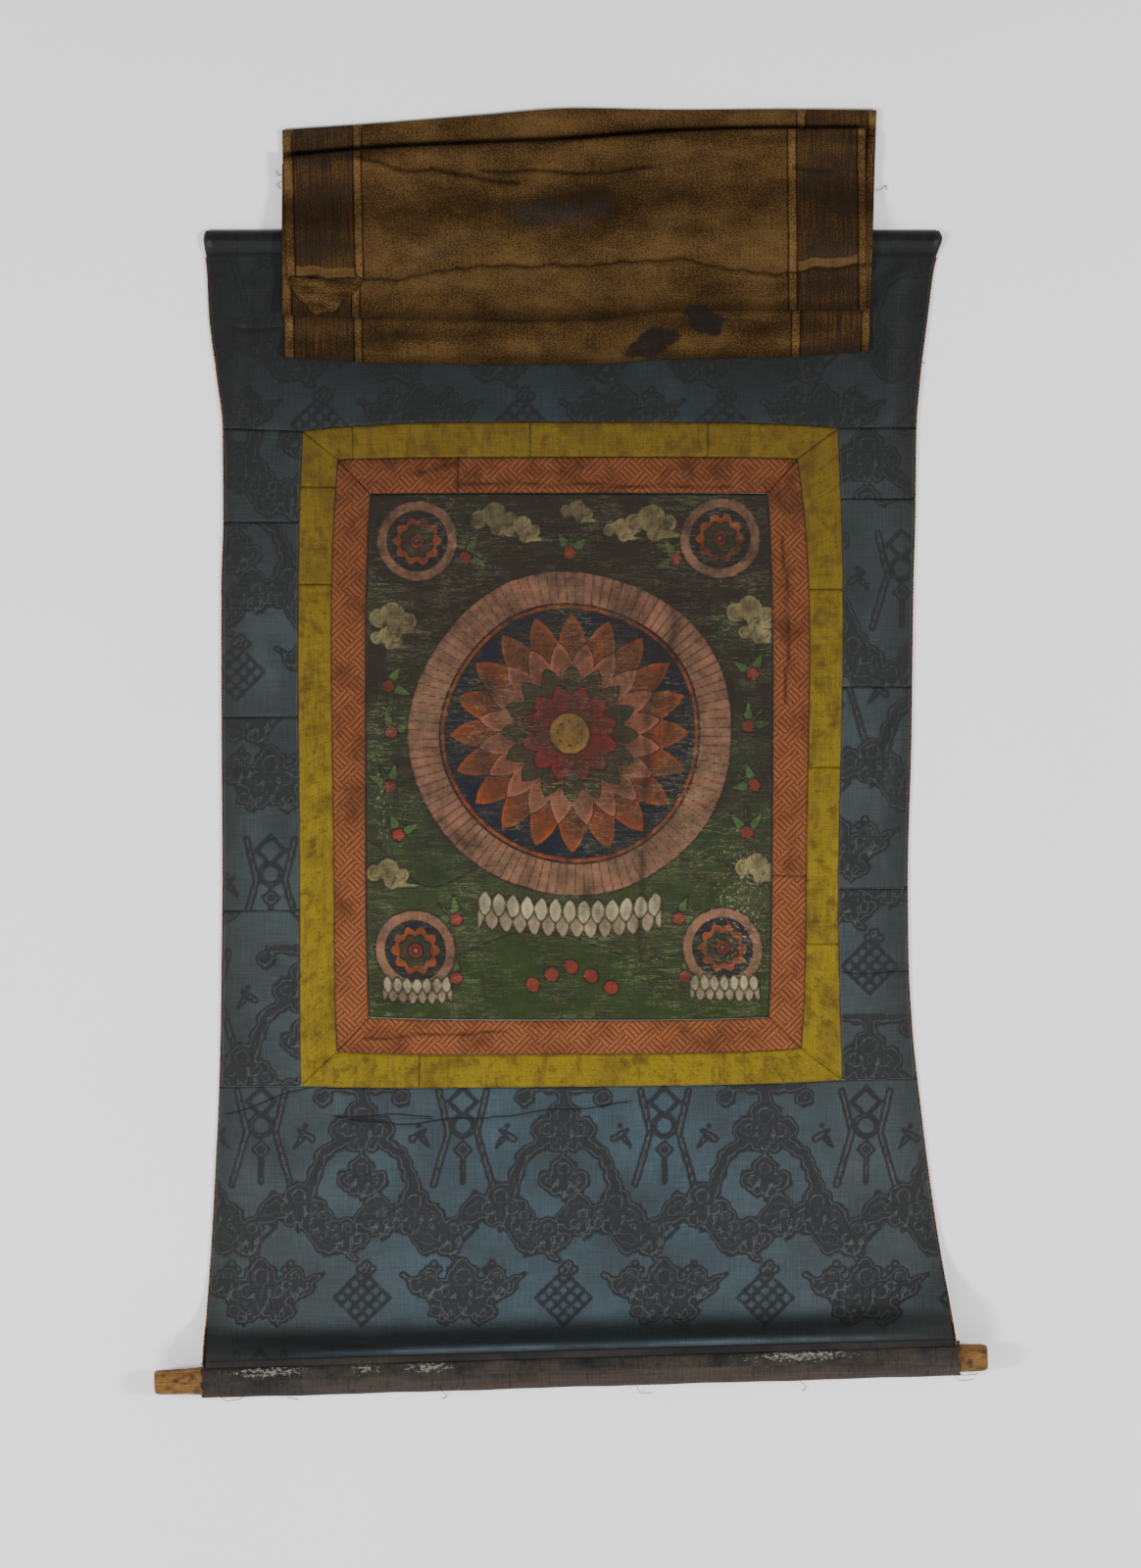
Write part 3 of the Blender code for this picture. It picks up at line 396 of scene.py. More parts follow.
def surface(name, points, uv, marks=None, wrap=False, shut=False):
    """A grid of points, rows x columns x 3 in mm, made a mesh with a UV map in mm and one
    float attribute for each mark. A wrapped grid closes on itself, and shut caps its ends."""
    rows, columns = points.shape[:2]
    r, c = np.meshgrid(np.arange(rows - 1), np.arange(columns if wrap else columns - 1), indexing="ij")
    corner_r = np.stack([r, r, r + 1, r + 1], axis=-1).reshape(-1, 4)
    corner_c = np.stack([c, c + 1, c + 1, c], axis=-1).reshape(-1, 4)
    flat = points.reshape(-1, 3)
    faces = corner_r * columns + corner_c % columns
    p = flat[faces]
    normal = np.cross(p[:, 2] - p[:, 0], p[:, 3] - p[:, 1])
    facing = (np.sum(p.mean(axis=1) * normal) - np.sum(flat.mean(axis=0) * normal)
              if wrap else normal[:, 2].sum())
    if facing < 0:
        faces, corner_r, corner_c = faces[:, ::-1], corner_r[:, ::-1], corner_c[:, ::-1]
    uv_corners = uv[corner_r, corner_c].reshape(-1, 2)
    polygons = faces.tolist()
    if shut:
        for ring, turn in ((np.arange(columns), 1), (np.arange(columns) + (rows - 1) * columns, -1)):
            polygons.append([int(i) for i in ring[::-turn if facing >= 0 else turn]])
        uv_corners = np.concatenate([uv_corners, np.zeros((2 * columns, 2))])
    mesh = bpy.data.meshes.new(name)
    mesh.from_pydata((flat * MM).tolist(), [], polygons)
    layer = mesh.uv_layers.new(name="Cloth")
    layer.uv.foreach_set("vector", uv_corners.ravel().astype(np.float32))
    for key, values in (marks or {}).items():
        mark = mesh.attributes.new(key, "FLOAT", "POINT")
        mark.data.foreach_set("value", np.asarray(values, np.float32).ravel())
    mesh.polygons.foreach_set("use_smooth", np.ones(len(mesh.polygons), bool))
    mesh.update()
    return mesh


def place_piece(name, mesh, material, node=None, thick=0.0, offset=1.0):
    """Puts a finished mesh in the scene, riding on the frame in place of its node."""
    piece = bpy.data.objects.new(name, mesh)
    bpy.context.scene.collection.objects.link(piece)
    mesh.materials.append(material)
    if thick:
        solidify = piece.modifiers.new("Cloth thickness", "SOLIDIFY")
        solidify.thickness = thick
        solidify.offset = offset
        solidify.use_even_offset = False
    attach(piece, "root")
    if node:
        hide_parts(node)
    return piece


def edge_distance(width, height, u, v):
    """Distance in mm from each grid point to the piece's nearest edge."""
    return np.minimum(np.minimum(u, 1 - u) * width, np.minimum(v, 1 - v) * height)


def sewn_down(distance):
    """A seamed edge is drawn down by up to 0.2 mm within 3 mm of its seam."""
    return -0.2 * np.exp(-(distance / 1.6) ** 2)


def lay_cloth(node, x, y, base, material, sizes, marks, thick, uv=None):
    """Lays one flat cloth piece: its grid goes on the uneven surface over its base height.
    Its UV map is its own X and Y unless another is given."""
    uv = np.stack([x, y], axis=-1) if uv is None else uv
    soft, crease, nearest = lie(x, y, sizes.wave / MM)
    z = base + soft + sewn_down(marks["edge_mm"])
    points = np.stack([x, y, np.maximum(z, 0.05)], axis=-1)
    # The crease marks tell the finish where to paint shade in the creases
    mesh = surface(node + "_cloth", points, uv, {**marks, "crease": crease, "crease_mm": nearest})
    piece = place_piece(node + "_cloth", mesh, material, node, thick)
    return piece


def disc(x, y, cx, cy, r):
    """Signed distance to a round spot."""
    return np.hypot(x - cx, y - cy) - r


def bar(x, y, ax, ay, bx, by, r, taper=0.0):
    """Signed distance to a round-ended bar whose radius shrinks by taper to its far end."""
    dx, dy = bx - ax, by - ay
    t = np.clip(((x - ax) * dx + (y - ay) * dy) / (dx * dx + dy * dy), 0, 1)
    return np.hypot(x - ax - t * dx, y - ay - t * dy) - r + taper * t


def lozenge(x, y, cx, cy, half):
    """Signed distance to a square standing on its corner."""
    return (np.abs(x - cx) + np.abs(y - cy) - half) / 1.414


def cloud_head(x, y, cx, cy, size):
    """A ruyi cloud head: one upper lobe, two side lobes, two small feet and a point."""
    lobes = [disc(x, y, cx, cy + 0.34 * size, 0.42 * size),
             disc(x, y, cx - 0.46 * size, cy, 0.34 * size), disc(x, y, cx + 0.46 * size, cy, 0.34 * size),
             disc(x, y, cx - 0.2 * size, cy - 0.3 * size, 0.24 * size),
             disc(x, y, cx + 0.2 * size, cy - 0.3 * size, 0.24 * size),
             bar(x, y, cx, cy, cx, cy - 0.62 * size, 0.26 * size, 0.2 * size)]
    return np.minimum.reduce(lobes)


def cloud_curls(x, y, cx, cy, size):
    """Distance to the light lines inside a cloud head: two facing hooks, each an open ring
    on a stem from the cloud's foot, and an open ring above them."""
    off, rise_up = np.abs(x - cx), y - cy
    hook = np.abs(disc(off, rise_up, 0.34 * size, 0.0, 0.16 * size))
    hook = np.maximum(hook, 0.16 * size - np.hypot(off - 0.16 * size, rise_up - 0.1 * size))
    crown = np.abs(disc(off, rise_up, 0.0, 0.36 * size, 0.17 * size))
    crown = np.maximum(crown, 0.15 * size - np.hypot(off, rise_up - 0.2 * size))
    stem = bar(off, rise_up, 0.2 * size, -0.1 * size, 0.05 * size, -0.5 * size, 0.0)
    return np.minimum.reduce([hook, crown, stem])


def ripple_edge(x, y, size):
    """The lobed outline of woven clouds: two crossing rows of half sines, whose zeros are
    the notches between the lobes."""
    return size * (1.27 - np.abs(np.sin(x / 4.4 + y / 9.0)) - np.abs(np.sin(y / 4.0 - x / 8.0)))


DAMASK_WIDTH = 185.0
DAMASK_HEIGHT = 240.0
# Cloud heads of one repeat, middle and size, with curls inside or without; those at its side
# come twice, once to the left and once to the right of it
CURLED_HEADS = ((0.0, -44.0, 38.0), (0.0, -90.0, 30.0), (-58.0, -116.0, 33.0), (48.0, -122.0, 35.0),
                (-14.0, -144.0, 27.0), (84.0, -144.0, 27.0), (-36.0, -132.0, 25.0), (18.0, -130.0, 24.0))
PLAIN_HEADS = ((70.0, -136.0, 22.0),)
CURLED_SIDE_HEADS = ((0.0, -192.0, 38.0), (31.0, -187.0, 24.0))
PLAIN_SIDE_HEADS = ((15.0, -210.0, 22.0),)
# Bars of one repeat: both ends, radius and taper
RIBBONS = ((14.0, -52.0, 36.0, -66.0, 6.5, 0.0), (36.0, -66.0, 44.0, -86.0, 6.5, 0.0),
           (44.0, -86.0, 52.0, -110.0, 7.0, 0.0), (0.0, -2.0, 0.0, -24.0, 7.0, 0.0),
           (0.0, -5.0, 32.0, -4.0, 7.0, 2.0))
CLOUD_TAILS = ((-30.0, -144.0, -4.0, -164.0, 6.5, 3.5), (62.0, -144.0, 84.0, -162.0, 6.5, 3.5))
SIDE_TAILS = ((38.0, -186.0, 56.0, -177.0, 6.0, 3.5), (0.0, -166.0, 0.0, -180.0, 6.0, 0.0))
DROP_BARS = ((0.0, -66.0, 0.0, -92.0, 2.6, 0.0), (22.0, -8.0, 13.0, -46.0, 3.2, 0.0),
             (13.0, -46.0, 27.0, -94.0, 3.2, 0.0))
SPRAY_BARS = ((46.0, -52.0, 58.0, -44.0, 3.6, 1.5), (56.0, -52.0, 62.0, -60.0, 3.2, 2.0))


def in_repeat(x, y):
    """A place in the cloth as a place in the damask's repeat, with the distance from the
    repeat's side."""
    x = (x + DAMASK_WIDTH / 2) % DAMASK_WIDTH - DAMASK_WIDTH / 2
    return x, -(-y % DAMASK_HEIGHT), np.abs(np.abs(x) - DAMASK_WIDTH / 2)


def damask(x, y):
    """Signed distance to the woven figures of one repeat, 185 x 240 mm: a pendant cloud
    with ribbons, a tasselled drop, a meandering cloud scroll, lozenges, spread clouds,
    florets and endless knots."""
    x, y, side = in_repeat(x, y)
    ax = np.abs(x)
    swing = x * 2 * pi / DAMASK_WIDTH
    scroll = np.abs(y + 130.0 - 15.0 * np.sin(2 * swing + 0.5)) / 1.35 - 8.0 - 3.5 * np.sin(4 * swing)
    lobed = [scroll, disc(ax, y, 36.0, -14.0, 9.0)]
    lobed += [cloud_head(x, y, *head) for head in CURLED_HEADS + PLAIN_HEADS]
    lobed += [cloud_head(side, y, *head) for head in CURLED_SIDE_HEADS + PLAIN_SIDE_HEADS]
    for across, bars in ((ax, RIBBONS), (x, CLOUD_TAILS), (side, SIDE_TAILS)):
        lobed += [bar(across, y, *ends) for ends in bars]
    shape = np.minimum.reduce(lobed) + ripple_edge(x, y, 1.7)
    drop = [np.abs(lozenge(side, y, 0.0, -18.0, 13.0)) - 1.9, np.abs(disc(side, y, 0.0, -40.0, 9.5)) - 2.4,
            lozenge(side, y, 0.0, -62.0, 9.5), *[bar(side, y, *ends) for ends in DROP_BARS]]
    diamond = [np.abs(lozenge(side, y, 0.0, -134.0, 12.0)) - 1.6, lozenge(side, y, 0.0, -134.0, 4.0)]
    floret = [disc(np.abs(side - 27.0), y, 5.4, -172.0, 3.8), disc(side, np.abs(y + 172.0), 27.0, 5.4, 3.8)]
    knot_x, knot_y = (x + y + 198.0) / 1.414, (x - y - 198.0) / 1.414
    laced = np.minimum(np.abs((knot_x + 4.5) % 9.0 - 4.5), np.abs((knot_y + 4.5) % 9.0 - 4.5)) - 1.4
    knot = np.maximum(laced, np.maximum(np.abs(knot_x), np.abs(knot_y)) - 19.5)
    spray = [bar(ax, y, *ends) for ends in SPRAY_BARS] + [disc(ax, y, 52.0, -40.0, 2.4)]
    small_head = cloud_head(x, y, 4.0, -172.0, 12.0)
    return np.minimum.reduce([shape, *drop, *diamond, *floret, knot, small_head, *spray])


def damask_lines(x, y):
    """Distance to the light curls woven inside the cloud figures of the repeat."""
    x, y, side = in_repeat(x, y)
    return np.minimum.reduce([cloud_curls(across, y, *head)
                              for across, heads in ((x, CURLED_HEADS), (side, CURLED_SIDE_HEADS))
                              for head in heads])


def damask_marks(x, y, shift_x, shift_y):
    """The marks of the damask: its figures, the lines inside them and the distance to the
    scroll's cut sides."""
    return {"motif": damask(x + shift_x, y + shift_y), "curl": damask_lines(x + shift_x, y + shift_y),
            "side_mm": np.minimum(x - left_side(y), right_side(y) - x)}


def polar(x, y, cx, cy, turn=0.0):
    """Distance and turned angle of each point from a middle."""
    return np.hypot(x - cx, y - cy), np.arctan2(y - cy, x - cx) + turn


def lotus(x, y, cx, cy, radius, petals, turn=0.0):
    """A ring of pointed petals: the radius falls from each tip with the root and the
    square of the share of the way to the next parting."""
    r, angle = polar(x, y, cx, cy, turn)
    share = np.abs((angle * petals / (2 * pi) + 0.5) % 1.0 - 0.5) * 2
    return r - radius * (1 - 0.09 * np.sqrt(share) - 0.16 * share ** 2)


def parting(x, y, cx, cy, inner, outer, petals, turn=0.0):
    """Distance to the straight lines between neighbouring petals of a ring."""
    r, angle = polar(x, y, cx, cy, turn)
    off = np.abs((angle * petals / (2 * pi)) % 1.0 - 0.5) * 2 * pi / petals * np.maximum(r, 1.0)
    return np.maximum.reduce([off, inner - r, r - outer])


def petal_row(x, y, cx, cy, half, step, lift, slide):
    """One row of a curved lotus bank: petals a step apart, each the overlap of two round
    spots, so many steps above the bank's middle line and slid along it."""
    off = x - cx
    bent = y - cy - 0.0012 * off * off - lift * step
    near = (off + slide * step + step / 2) % step - step / 2
    petal = np.maximum(np.hypot(near - 0.6 * step, bent), np.hypot(near + 0.6 * step, bent)) - 1.08 * step
    return np.maximum(petal, np.abs(off) - half)


def rosette(x, y, cx, cy, radius, petals):
    """A ring of round petals: radius times 0.70 + 0.30 times the root of |cos| of half
    the petal angle."""
    r, angle = polar(x, y, cx, cy)
    return r - radius * (0.70 + 0.30 * np.sqrt(np.abs(np.cos(petals * angle / 2))))


# Middles of the four small medallions
ROUNDELS = ((138.0, 196.0), (-140.0, 196.0), (140.0, -180.0), (-142.0, -180.0))
# Painted clouds: middle and size
CLOUDS = ((-70.0, 214.0, 1.0), (-44.0, 204.0, 0.8), (74.0, 212.0, 1.1), (46.0, 206.0, 0.7),
          (164.0, 128.0, 1.0), (168.0, 110.0, 0.7), (-164.0, 124.0, 1.0), (-170.0, 106.0, 0.7),
          (170.0, -106.0, 0.9), (-168.0, -110.0, 0.9), (6.0, 222.0, 0.7))
# Flower sprigs: middle and turn
SPRIGS = ((-168.0, 62.0, 0.4), (-164.0, 20.0, 1.1), (-166.0, -30.0, 2.0), (168.0, -30.0, 2.6),
          (164.0, 24.0, 0.9), (166.0, 72.0, 1.9), (-96.0, 180.0, 0.3), (98.0, 178.0, 2.8),
          (160.0, -74.0, 1.6), (-160.0, -74.0, 1.2), (100.0, -152.0, 0.5), (-104.0, -152.0, 2.4),
          (0.0, 184.0, 1.4), (104.0, -206.0, 0.7), (-106.0, -206.0, 2.3))
# Middles of the round jewels at the foot
JEWELS = ((0.0, -196.0), (-18.0, -204.0), (18.0, -204.0), (-36.0, -214.0), (36.0, -214.0))
# Brown drips that run down the painting
PAINT_DRIPS = (
    CreaseRow(92.0, 150.0, 95.9, 114.8, -1.0, 5.0), CreaseRow(95.9, 114.8, 73.4, 48.2, -1.0, 4.0),
    CreaseRow(73.4, 48.2, 66.2, -77.9, -1.0, 3.5), CreaseRow(66.2, -77.9, 64.4, -188.6, -1.0, 3.0),
    CreaseRow(96.0, 90.0, 90.0, 20.0, -0.6, 3.0), CreaseRow(-120.0, -60.0, -96.0, -84.0, -0.6, 4.0),
)
# Lotus banks: middle, half length and distance between petals
BANKS = ((0.0, -152.0, 84.5, 13.0), (-142.0, -217.0, 32.0, 9.0), (140.0, -217.0, 32.0, 9.0))
MEDALLION_Y = 18.0
# Lines between the medallion's petals and between its rays: from, to, how many, turn
PARTINGS = ((88.0, 101.0, 20, 0.0), (64.0, 78.0, 20, pi / 20), (47.0, 57.0, 16, 0.0),
            (20.0, 41.0, 12, pi / 12), (119.0, 149.0, 104, 0.0))


def painted_layers(x, y):
    """Signed distances of the painted areas, in mm: a rayed lotus medallion, four small
    ones, cloud banks, sprigs, a curved lotus bank and a row of jewels on hills."""
    x, y = x + 1.4 * np.sin(y / 27.0 + 1.0), y + 1.4 * np.sin(x / 29.0)
    middle = (0.0, MEDALLION_Y)
    r, angle = polar(x, y, *middle)

    def with_small(large, shape):
        """The nearer of a part of the medallion and its like in the four small ones."""
        return np.minimum.reduce([large, *[shape(*at) for at in ROUNDELS]])

    clouds, stems = [], []
    for cx, cy, size in CLOUDS:
        clouds += [disc(x, y, cx, cy + 4 * size, 12 * size), disc(x, y, cx - 14 * size, cy, 9 * size),
                   disc(x, y, cx + 14 * size, cy - 1, 8 * size),
                   disc(x, y, cx + 4 * size, cy - 8 * size, 8 * size),
                   bar(x, y, cx + 10 * size, cy - 10 * size, cx + 36 * size, cy - 12 * size,
                       4 * size, 3 * size)]
    for cx, cy, a in SPRIGS:
        for start, turn, thick, taper in ((0, 0.0, 1.2, 0.0), (10, 0.7, 4.6, 3.6), (10, -0.7, 4.6, 3.6)):
            dx, dy = cos(a + turn), sin(a + turn)
            ends = cx + start * dx, cy + start * dy, cx + 22 * dx, cy + 22 * dy
            stems.append(bar(x, y, *ends, thick, taper))
    jewels = [disc(x, y, *at, 7.0) for at in JEWELS] + [rosette(x, y, cx, cy, 6.5, 5) for cx, cy, _ in SPRIGS]
    seeds = np.abs(disc(x, y, *middle, 11.0)) + 2.2 * np.abs(np.sin(4 * angle)) - 1.0
    curls = [cloud_curls(x, y, cx, cy, 36.0 * size) for cx, cy, size in CLOUDS]
    lower, upper = (np.minimum.reduce([petal_row(x, y, *bank, lift, slide) for bank in BANKS])
                    for lift, slide in ((-0.5, 0.5), (0.5, 0.0)))
    return {
        "hill": y + 96.0 - 20 * np.sin(x / 44 + 0.8) - 9 * np.sin(x / 17),
        "near_hill": y + 176.0 - 12 * np.sin(x / 33 + 2.4),
        "ring": with_small(np.abs(r - 134.0) - 15.0, lambda *at: np.abs(disc(x, y, *at, 32.0)) - 5.0),
        "disc": with_small(r - 118.5, lambda *at: disc(x, y, *at, 27.0)),
        "rim": np.abs(r - 116.5) - 2.2,
        "petal": with_small(lotus(x, y, *middle, 112.0, 20), lambda *at: lotus(x, y, *at, 24.0, 10)),
        "inner_petal": lotus(x, y, *middle, 86.0, 20, pi / 20),
        "leaf": with_small(lotus(x, y, *middle, 64.0, 16), lambda *at: lotus(x, y, *at, 16.0, 8, pi / 8)),
        "heart": with_small(lotus(x, y, *middle, 46.0, 12, pi / 12), lambda *at: disc(x, y, *at, 7.0)),
        "eye": with_small(disc(x, y, *middle, 19.0), lambda *at: disc(x, y, *at, 2.8)),
        "ray": np.minimum.reduce([parting(x, y, *middle, *row) for row in PARTINGS] + [seeds] + curls),
        "cloud": np.minimum.reduce(clouds),
        "bank": lower,
        "bank_top": upper,
        "jewel": np.minimum.reduce(jewels),
        "stem": np.minimum.reduce(stems),
        "flaked": np.clip(1.2 * np.exp(-((x - 158.0) / 34.0) ** 2 - ((y + 140.0) / 80.0) ** 2)
                          + np.exp(-((x + 174.0) / 13.0) ** 2 - ((y + 48.0) / 48.0) ** 2), 0.0, 1.0),
        "drip": crease_field(x, y, PAINT_DRIPS)[1],
    }


# Settings that many nodes share
COLOUR_MIX = {"data_type": "RGBA", "out": 2}
PLUS, LESS, TIMES = {"operation": "ADD"}, {"operation": "SUBTRACT"}, {"operation": "MULTIPLY"}
WITHOUT_SIGN, LARGER = {"operation": "ABSOLUTE"}, {"operation": "MAXIMUM"}
MARK = {"out": "Fac"}
# Metres into mm along a diagonal
DIAGONAL_MM = 707.0


def add_node(tree, kind, *inputs, out=0, **settings):
    """Adds one node with its settings, fills its inputs with values or links, and gives
    back one of its outputs. Inputs come in order, or in a table by name or number. A
    colour is a hex code or a user's colour."""
    node = tree.nodes.new("ShaderNode" + kind)
    for key, value in settings.items():
        setattr(node, key, value)
    filled = inputs[0] if inputs and isinstance(inputs[0], dict) else dict(enumerate(inputs))
    for key, value in filled.items():
        socket = node.inputs[key]
        if isinstance(value, bpy.types.NodeSocket):
            tree.links.new(value, socket)
        elif socket.type == "RGBA":
            socket.default_value = linear(value) if isinstance(value, str) else (*value[:3], 1.0)
        else:
            socket.default_value = value
    return node.outputs[out]


def start_finish(name):
    """A new material, what adds its nodes, the piece's UV in mm of cloth and its place in
    metres."""
    material = bpy.data.materials.new(name)
    material.use_nodes = True
    node = partial(add_node, material.node_tree)
    return material, node, node("TexCoord", out="UV"), node("TexCoord", out="Object")


def between(node, base, *rows):
    """Lays tones over a finish, one for each row: none where its pattern is at the first
    value, full strength where it is at the second."""
    for pattern, none, full, strength, tone in rows:
        shown = node("MapRange", pattern, none, full, 0.0, strength)
        base = node("Mix", {0: shown, 6: base, 7: tone}, **COLOUR_MIX)
    return base


def drawn_out(node, place, across, up, detail, rough=0.5, scale=1.0):
    """Noise that is finer one way than the other: its scale is multiplied across and up."""
    stretched = node("Mapping", {"Vector": place, "Scale": (across, up, 1.0)})
    return node("TexNoise", {"Vector": stretched, "Scale": scale, "Detail": detail, "Roughness": rough})


def weave(material, node, uv, base, relief, pull=0.2, rough=0.75, gloss=0.15, bump=0.0004):
    """Warp and weft streaks over a finish, then its colour, relief and gloss joined to the
    shader. Real silk has ten threads a millimetre; here they are drawn near 1 mm apart so
    that they show. Cloth has an IOR near 1.46, and age has dulled it."""
    warp, weft = drawn_out(node, uv, 1.1, 0.035, 3.0), drawn_out(node, uv, 0.035, 1.1, 3.0)
    both = node("Math", warp, weft, **PLUS)
    shade = node("MapRange", both, 0.75, 1.25, 1 - pull, 1 + pull)
    tone = node("CombineColor", shade, shade, shade)
    shader = material.node_tree.nodes["Principled BSDF"]
    link = material.node_tree.links.new
    base = node("Mix", {0: 1.0, 6: base, 7: tone}, blend_type="MULTIPLY", **COLOUR_MIX)
    link(base, shader.inputs["Base Color"])
    raised = node("Math", both, relief, **PLUS)
    link(node("Bump", {"Strength": 0.5, "Distance": bump, "Height": raised}), shader.inputs["Normal"])
    for key, value in (("Roughness", rough), ("IOR", 1.46), ("Specular IOR Level", gloss)):
        shader.inputs[key].default_value = value
    return material


def damask_finish(colours):
    """Silk damask: warp-faced figures on a weft ground, so they read brown and matte
    against a soft blue, each with a dark rim and a thin light line inside it. Dirt hides
    them at the head and dulls both sides. Where the sleeve's cloth laps over the foot
    panel, its colour and its stitched line cover the damask."""
    material, node, uv, place = start_finish("Woven silk damask")
    across, up, _ = (node("SeparateXYZ", place, out=axis) for axis in range(3))
    motif, curl, side_mm, edge_mm, lap, crease = (
        node("Attribute", attribute_name=name, **MARK)
        for name in ("motif", "curl", "side_mm", "edge_mm", "lap", "crease_mm"))
    wobble = node("TexNoise", {"Vector": place, "Scale": 170.0, "Detail": 2.0})
    wobble = node("MapRange", wobble, 0.0, 1.0, -1.3, 1.3)
    away = node("Math", motif, wobble, **PLUS)
    figure = node("MapRange", away, 0.7, -0.5)
    patches = node("TexNoise", {"Vector": place, "Scale": 9.0, "Detail": 7.0, "Roughness": 0.62})
    off_middle = node("Math", across, **WITHOUT_SIGN)
    ground = between(node, colours.damask, (off_middle, 0.27, 0.10, 0.75, colours.damask_middle),
                     (patches, 0.40, 0.66, 0.75, "#272B2C"))
    upper = node("MapRange", up, -0.34, 0.30)
    shown = node("Math", figure, node("MapRange", {0: upper, 3: 0.90, 4: 0.85}), **TIMES)
    base = node("Mix", {0: shown, 6: ground, 7: colours.damask_motif}, **COLOUR_MIX)
    for depth, width, strength, tone in ((0.3, 1.0, 0.32, colours.damask_rim),
                                         (2.6, 0.45, 0.42, colours.damask_line),
                                         (8.0, 0.4, 0.20, colours.damask_line)):
        line = node("Math", node("Math", away, depth, **PLUS), **WITHOUT_SIGN)
        base = between(node, base, (line, width * 1.5, width * 0.5, strength, tone))
    curl = node("Math", node("MapRange", curl, 1.1, 0.35, 0.0, 0.5), figure, **TIMES)
    base = node("Mix", {0: curl, 6: base, 7: colours.damask_line}, **COLOUR_MIX)
    dirt = node("MapRange", patches, 0.25, 0.7, 0.5, 1.1)
    dirt = node("Math", dirt, node("MapRange", {0: upper, 3: 0.08, 4: 0.66}), **TIMES)
    base = node("Mix", {0: dirt, 6: base, 7: colours.damask_grime}, **COLOUR_MIX)
    side = node("Math", side_mm, node("MapRange", {0: patches, 3: -14.0, 4: 14.0}), **PLUS)
    hem = node("Math", node("Math", up, 0.4575, **LESS), **WITHOUT_SIGN)
    base = between(node, base, (side, 34.0, 0.0, 0.6, "#1C1D1A"), (up, 0.22, 0.38, 0.70, "#0E0F0E"),
                   (up, 0.455, 0.460, 0.3, "#141412"), (hem, 0.0016, 0.0005, 0.7, "#050505"),
                   (edge_mm, 0.8, 0.1, 0.2, "#0B0B0B"))
    # Painted shade over the climb to the roller, a painted highlight along the top of the climb, and painted
    # shade in the creases
    for name, low, high, tone in (("painted_climb_shade", 0.80, 0.80, "#131312"), ("painted_crest_highlight", 0.35, 0.85, "#4A585E"),
                                  ("crease", 0.20, 0.30, "#0A0C0D")):
        strength = node("MapRange", patches, 0.42, 0.58, low, high)
        mark = node("Math", node("Attribute", attribute_name=name, **MARK), strength, **TIMES)
        base = node("Mix", {0: mark, 6: base, 7: tone}, **COLOUR_MIX)
    cloth = node("Mix", {0: node("MapRange", patches, 0.40, 0.56), 6: "#25211D", 7: "#121212"},
                 **COLOUR_MIX)
    stitched = node("Math", node("Math", lap, LAP_LEVEL, **LESS), **WITHOUT_SIGN)
    # Painted shade: a dark line along each sunk crease
    crease = node("Math", crease, **WITHOUT_SIGN)
    base = between(node, base, (lap, LAP_LEVEL - 0.4, LAP_LEVEL + 0.4, 1.0, cloth),
                   (stitched, 1.2, 0.3, 0.85, "#060606"), (crease, 0.95, 0.35, 0.85, "#050607"))
    return weave(material, node, uv, base, node("Math", figure, -0.4, **TIMES), 0.24, 0.5, 0.22)


def yellow_finish(colours):
    """Satin silk, yellow with brown grime rubbed in along its threads, small dark specks
    and a darker, greener head."""
    material, node, uv, place = start_finish("Woven yellow satin")
    up = node("SeparateXYZ", place, out=1)
    blotch = node("TexNoise", {"Vector": place, "Scale": 26.0, "Detail": 9.0, "Roughness": 0.72})
    streak = drawn_out(node, place, 1.0, 0.22, 5.0, 0.7, scale=120.0)
    specks = node("TexNoise", {"Vector": place, "Scale": 460.0, "Detail": 2.0})
    rubbed = node("TexNoise", {"Vector": place, "Scale": 105.0, "Detail": 4.0, "Roughness": 0.6})
    grime = colours.yellow_grime
    base = between(node, colours.yellow, (up, -0.10, 0.24, 1.0, "#5A4A14"), (blotch, 0.44, 0.68, 0.6, grime),
                   (streak, 0.50, 0.66, 0.45, grime), (rubbed, 0.54, 0.62, 0.4, grime),
                   (specks, 0.61, 0.68, 0.6, grime),
                   (node("Attribute", attribute_name="edge_mm", **MARK), 0.8, 0.1, 0.2, "#1A1204"))
    return weave(material, node, uv, base, streak, 0.2, 0.6, 0.12)


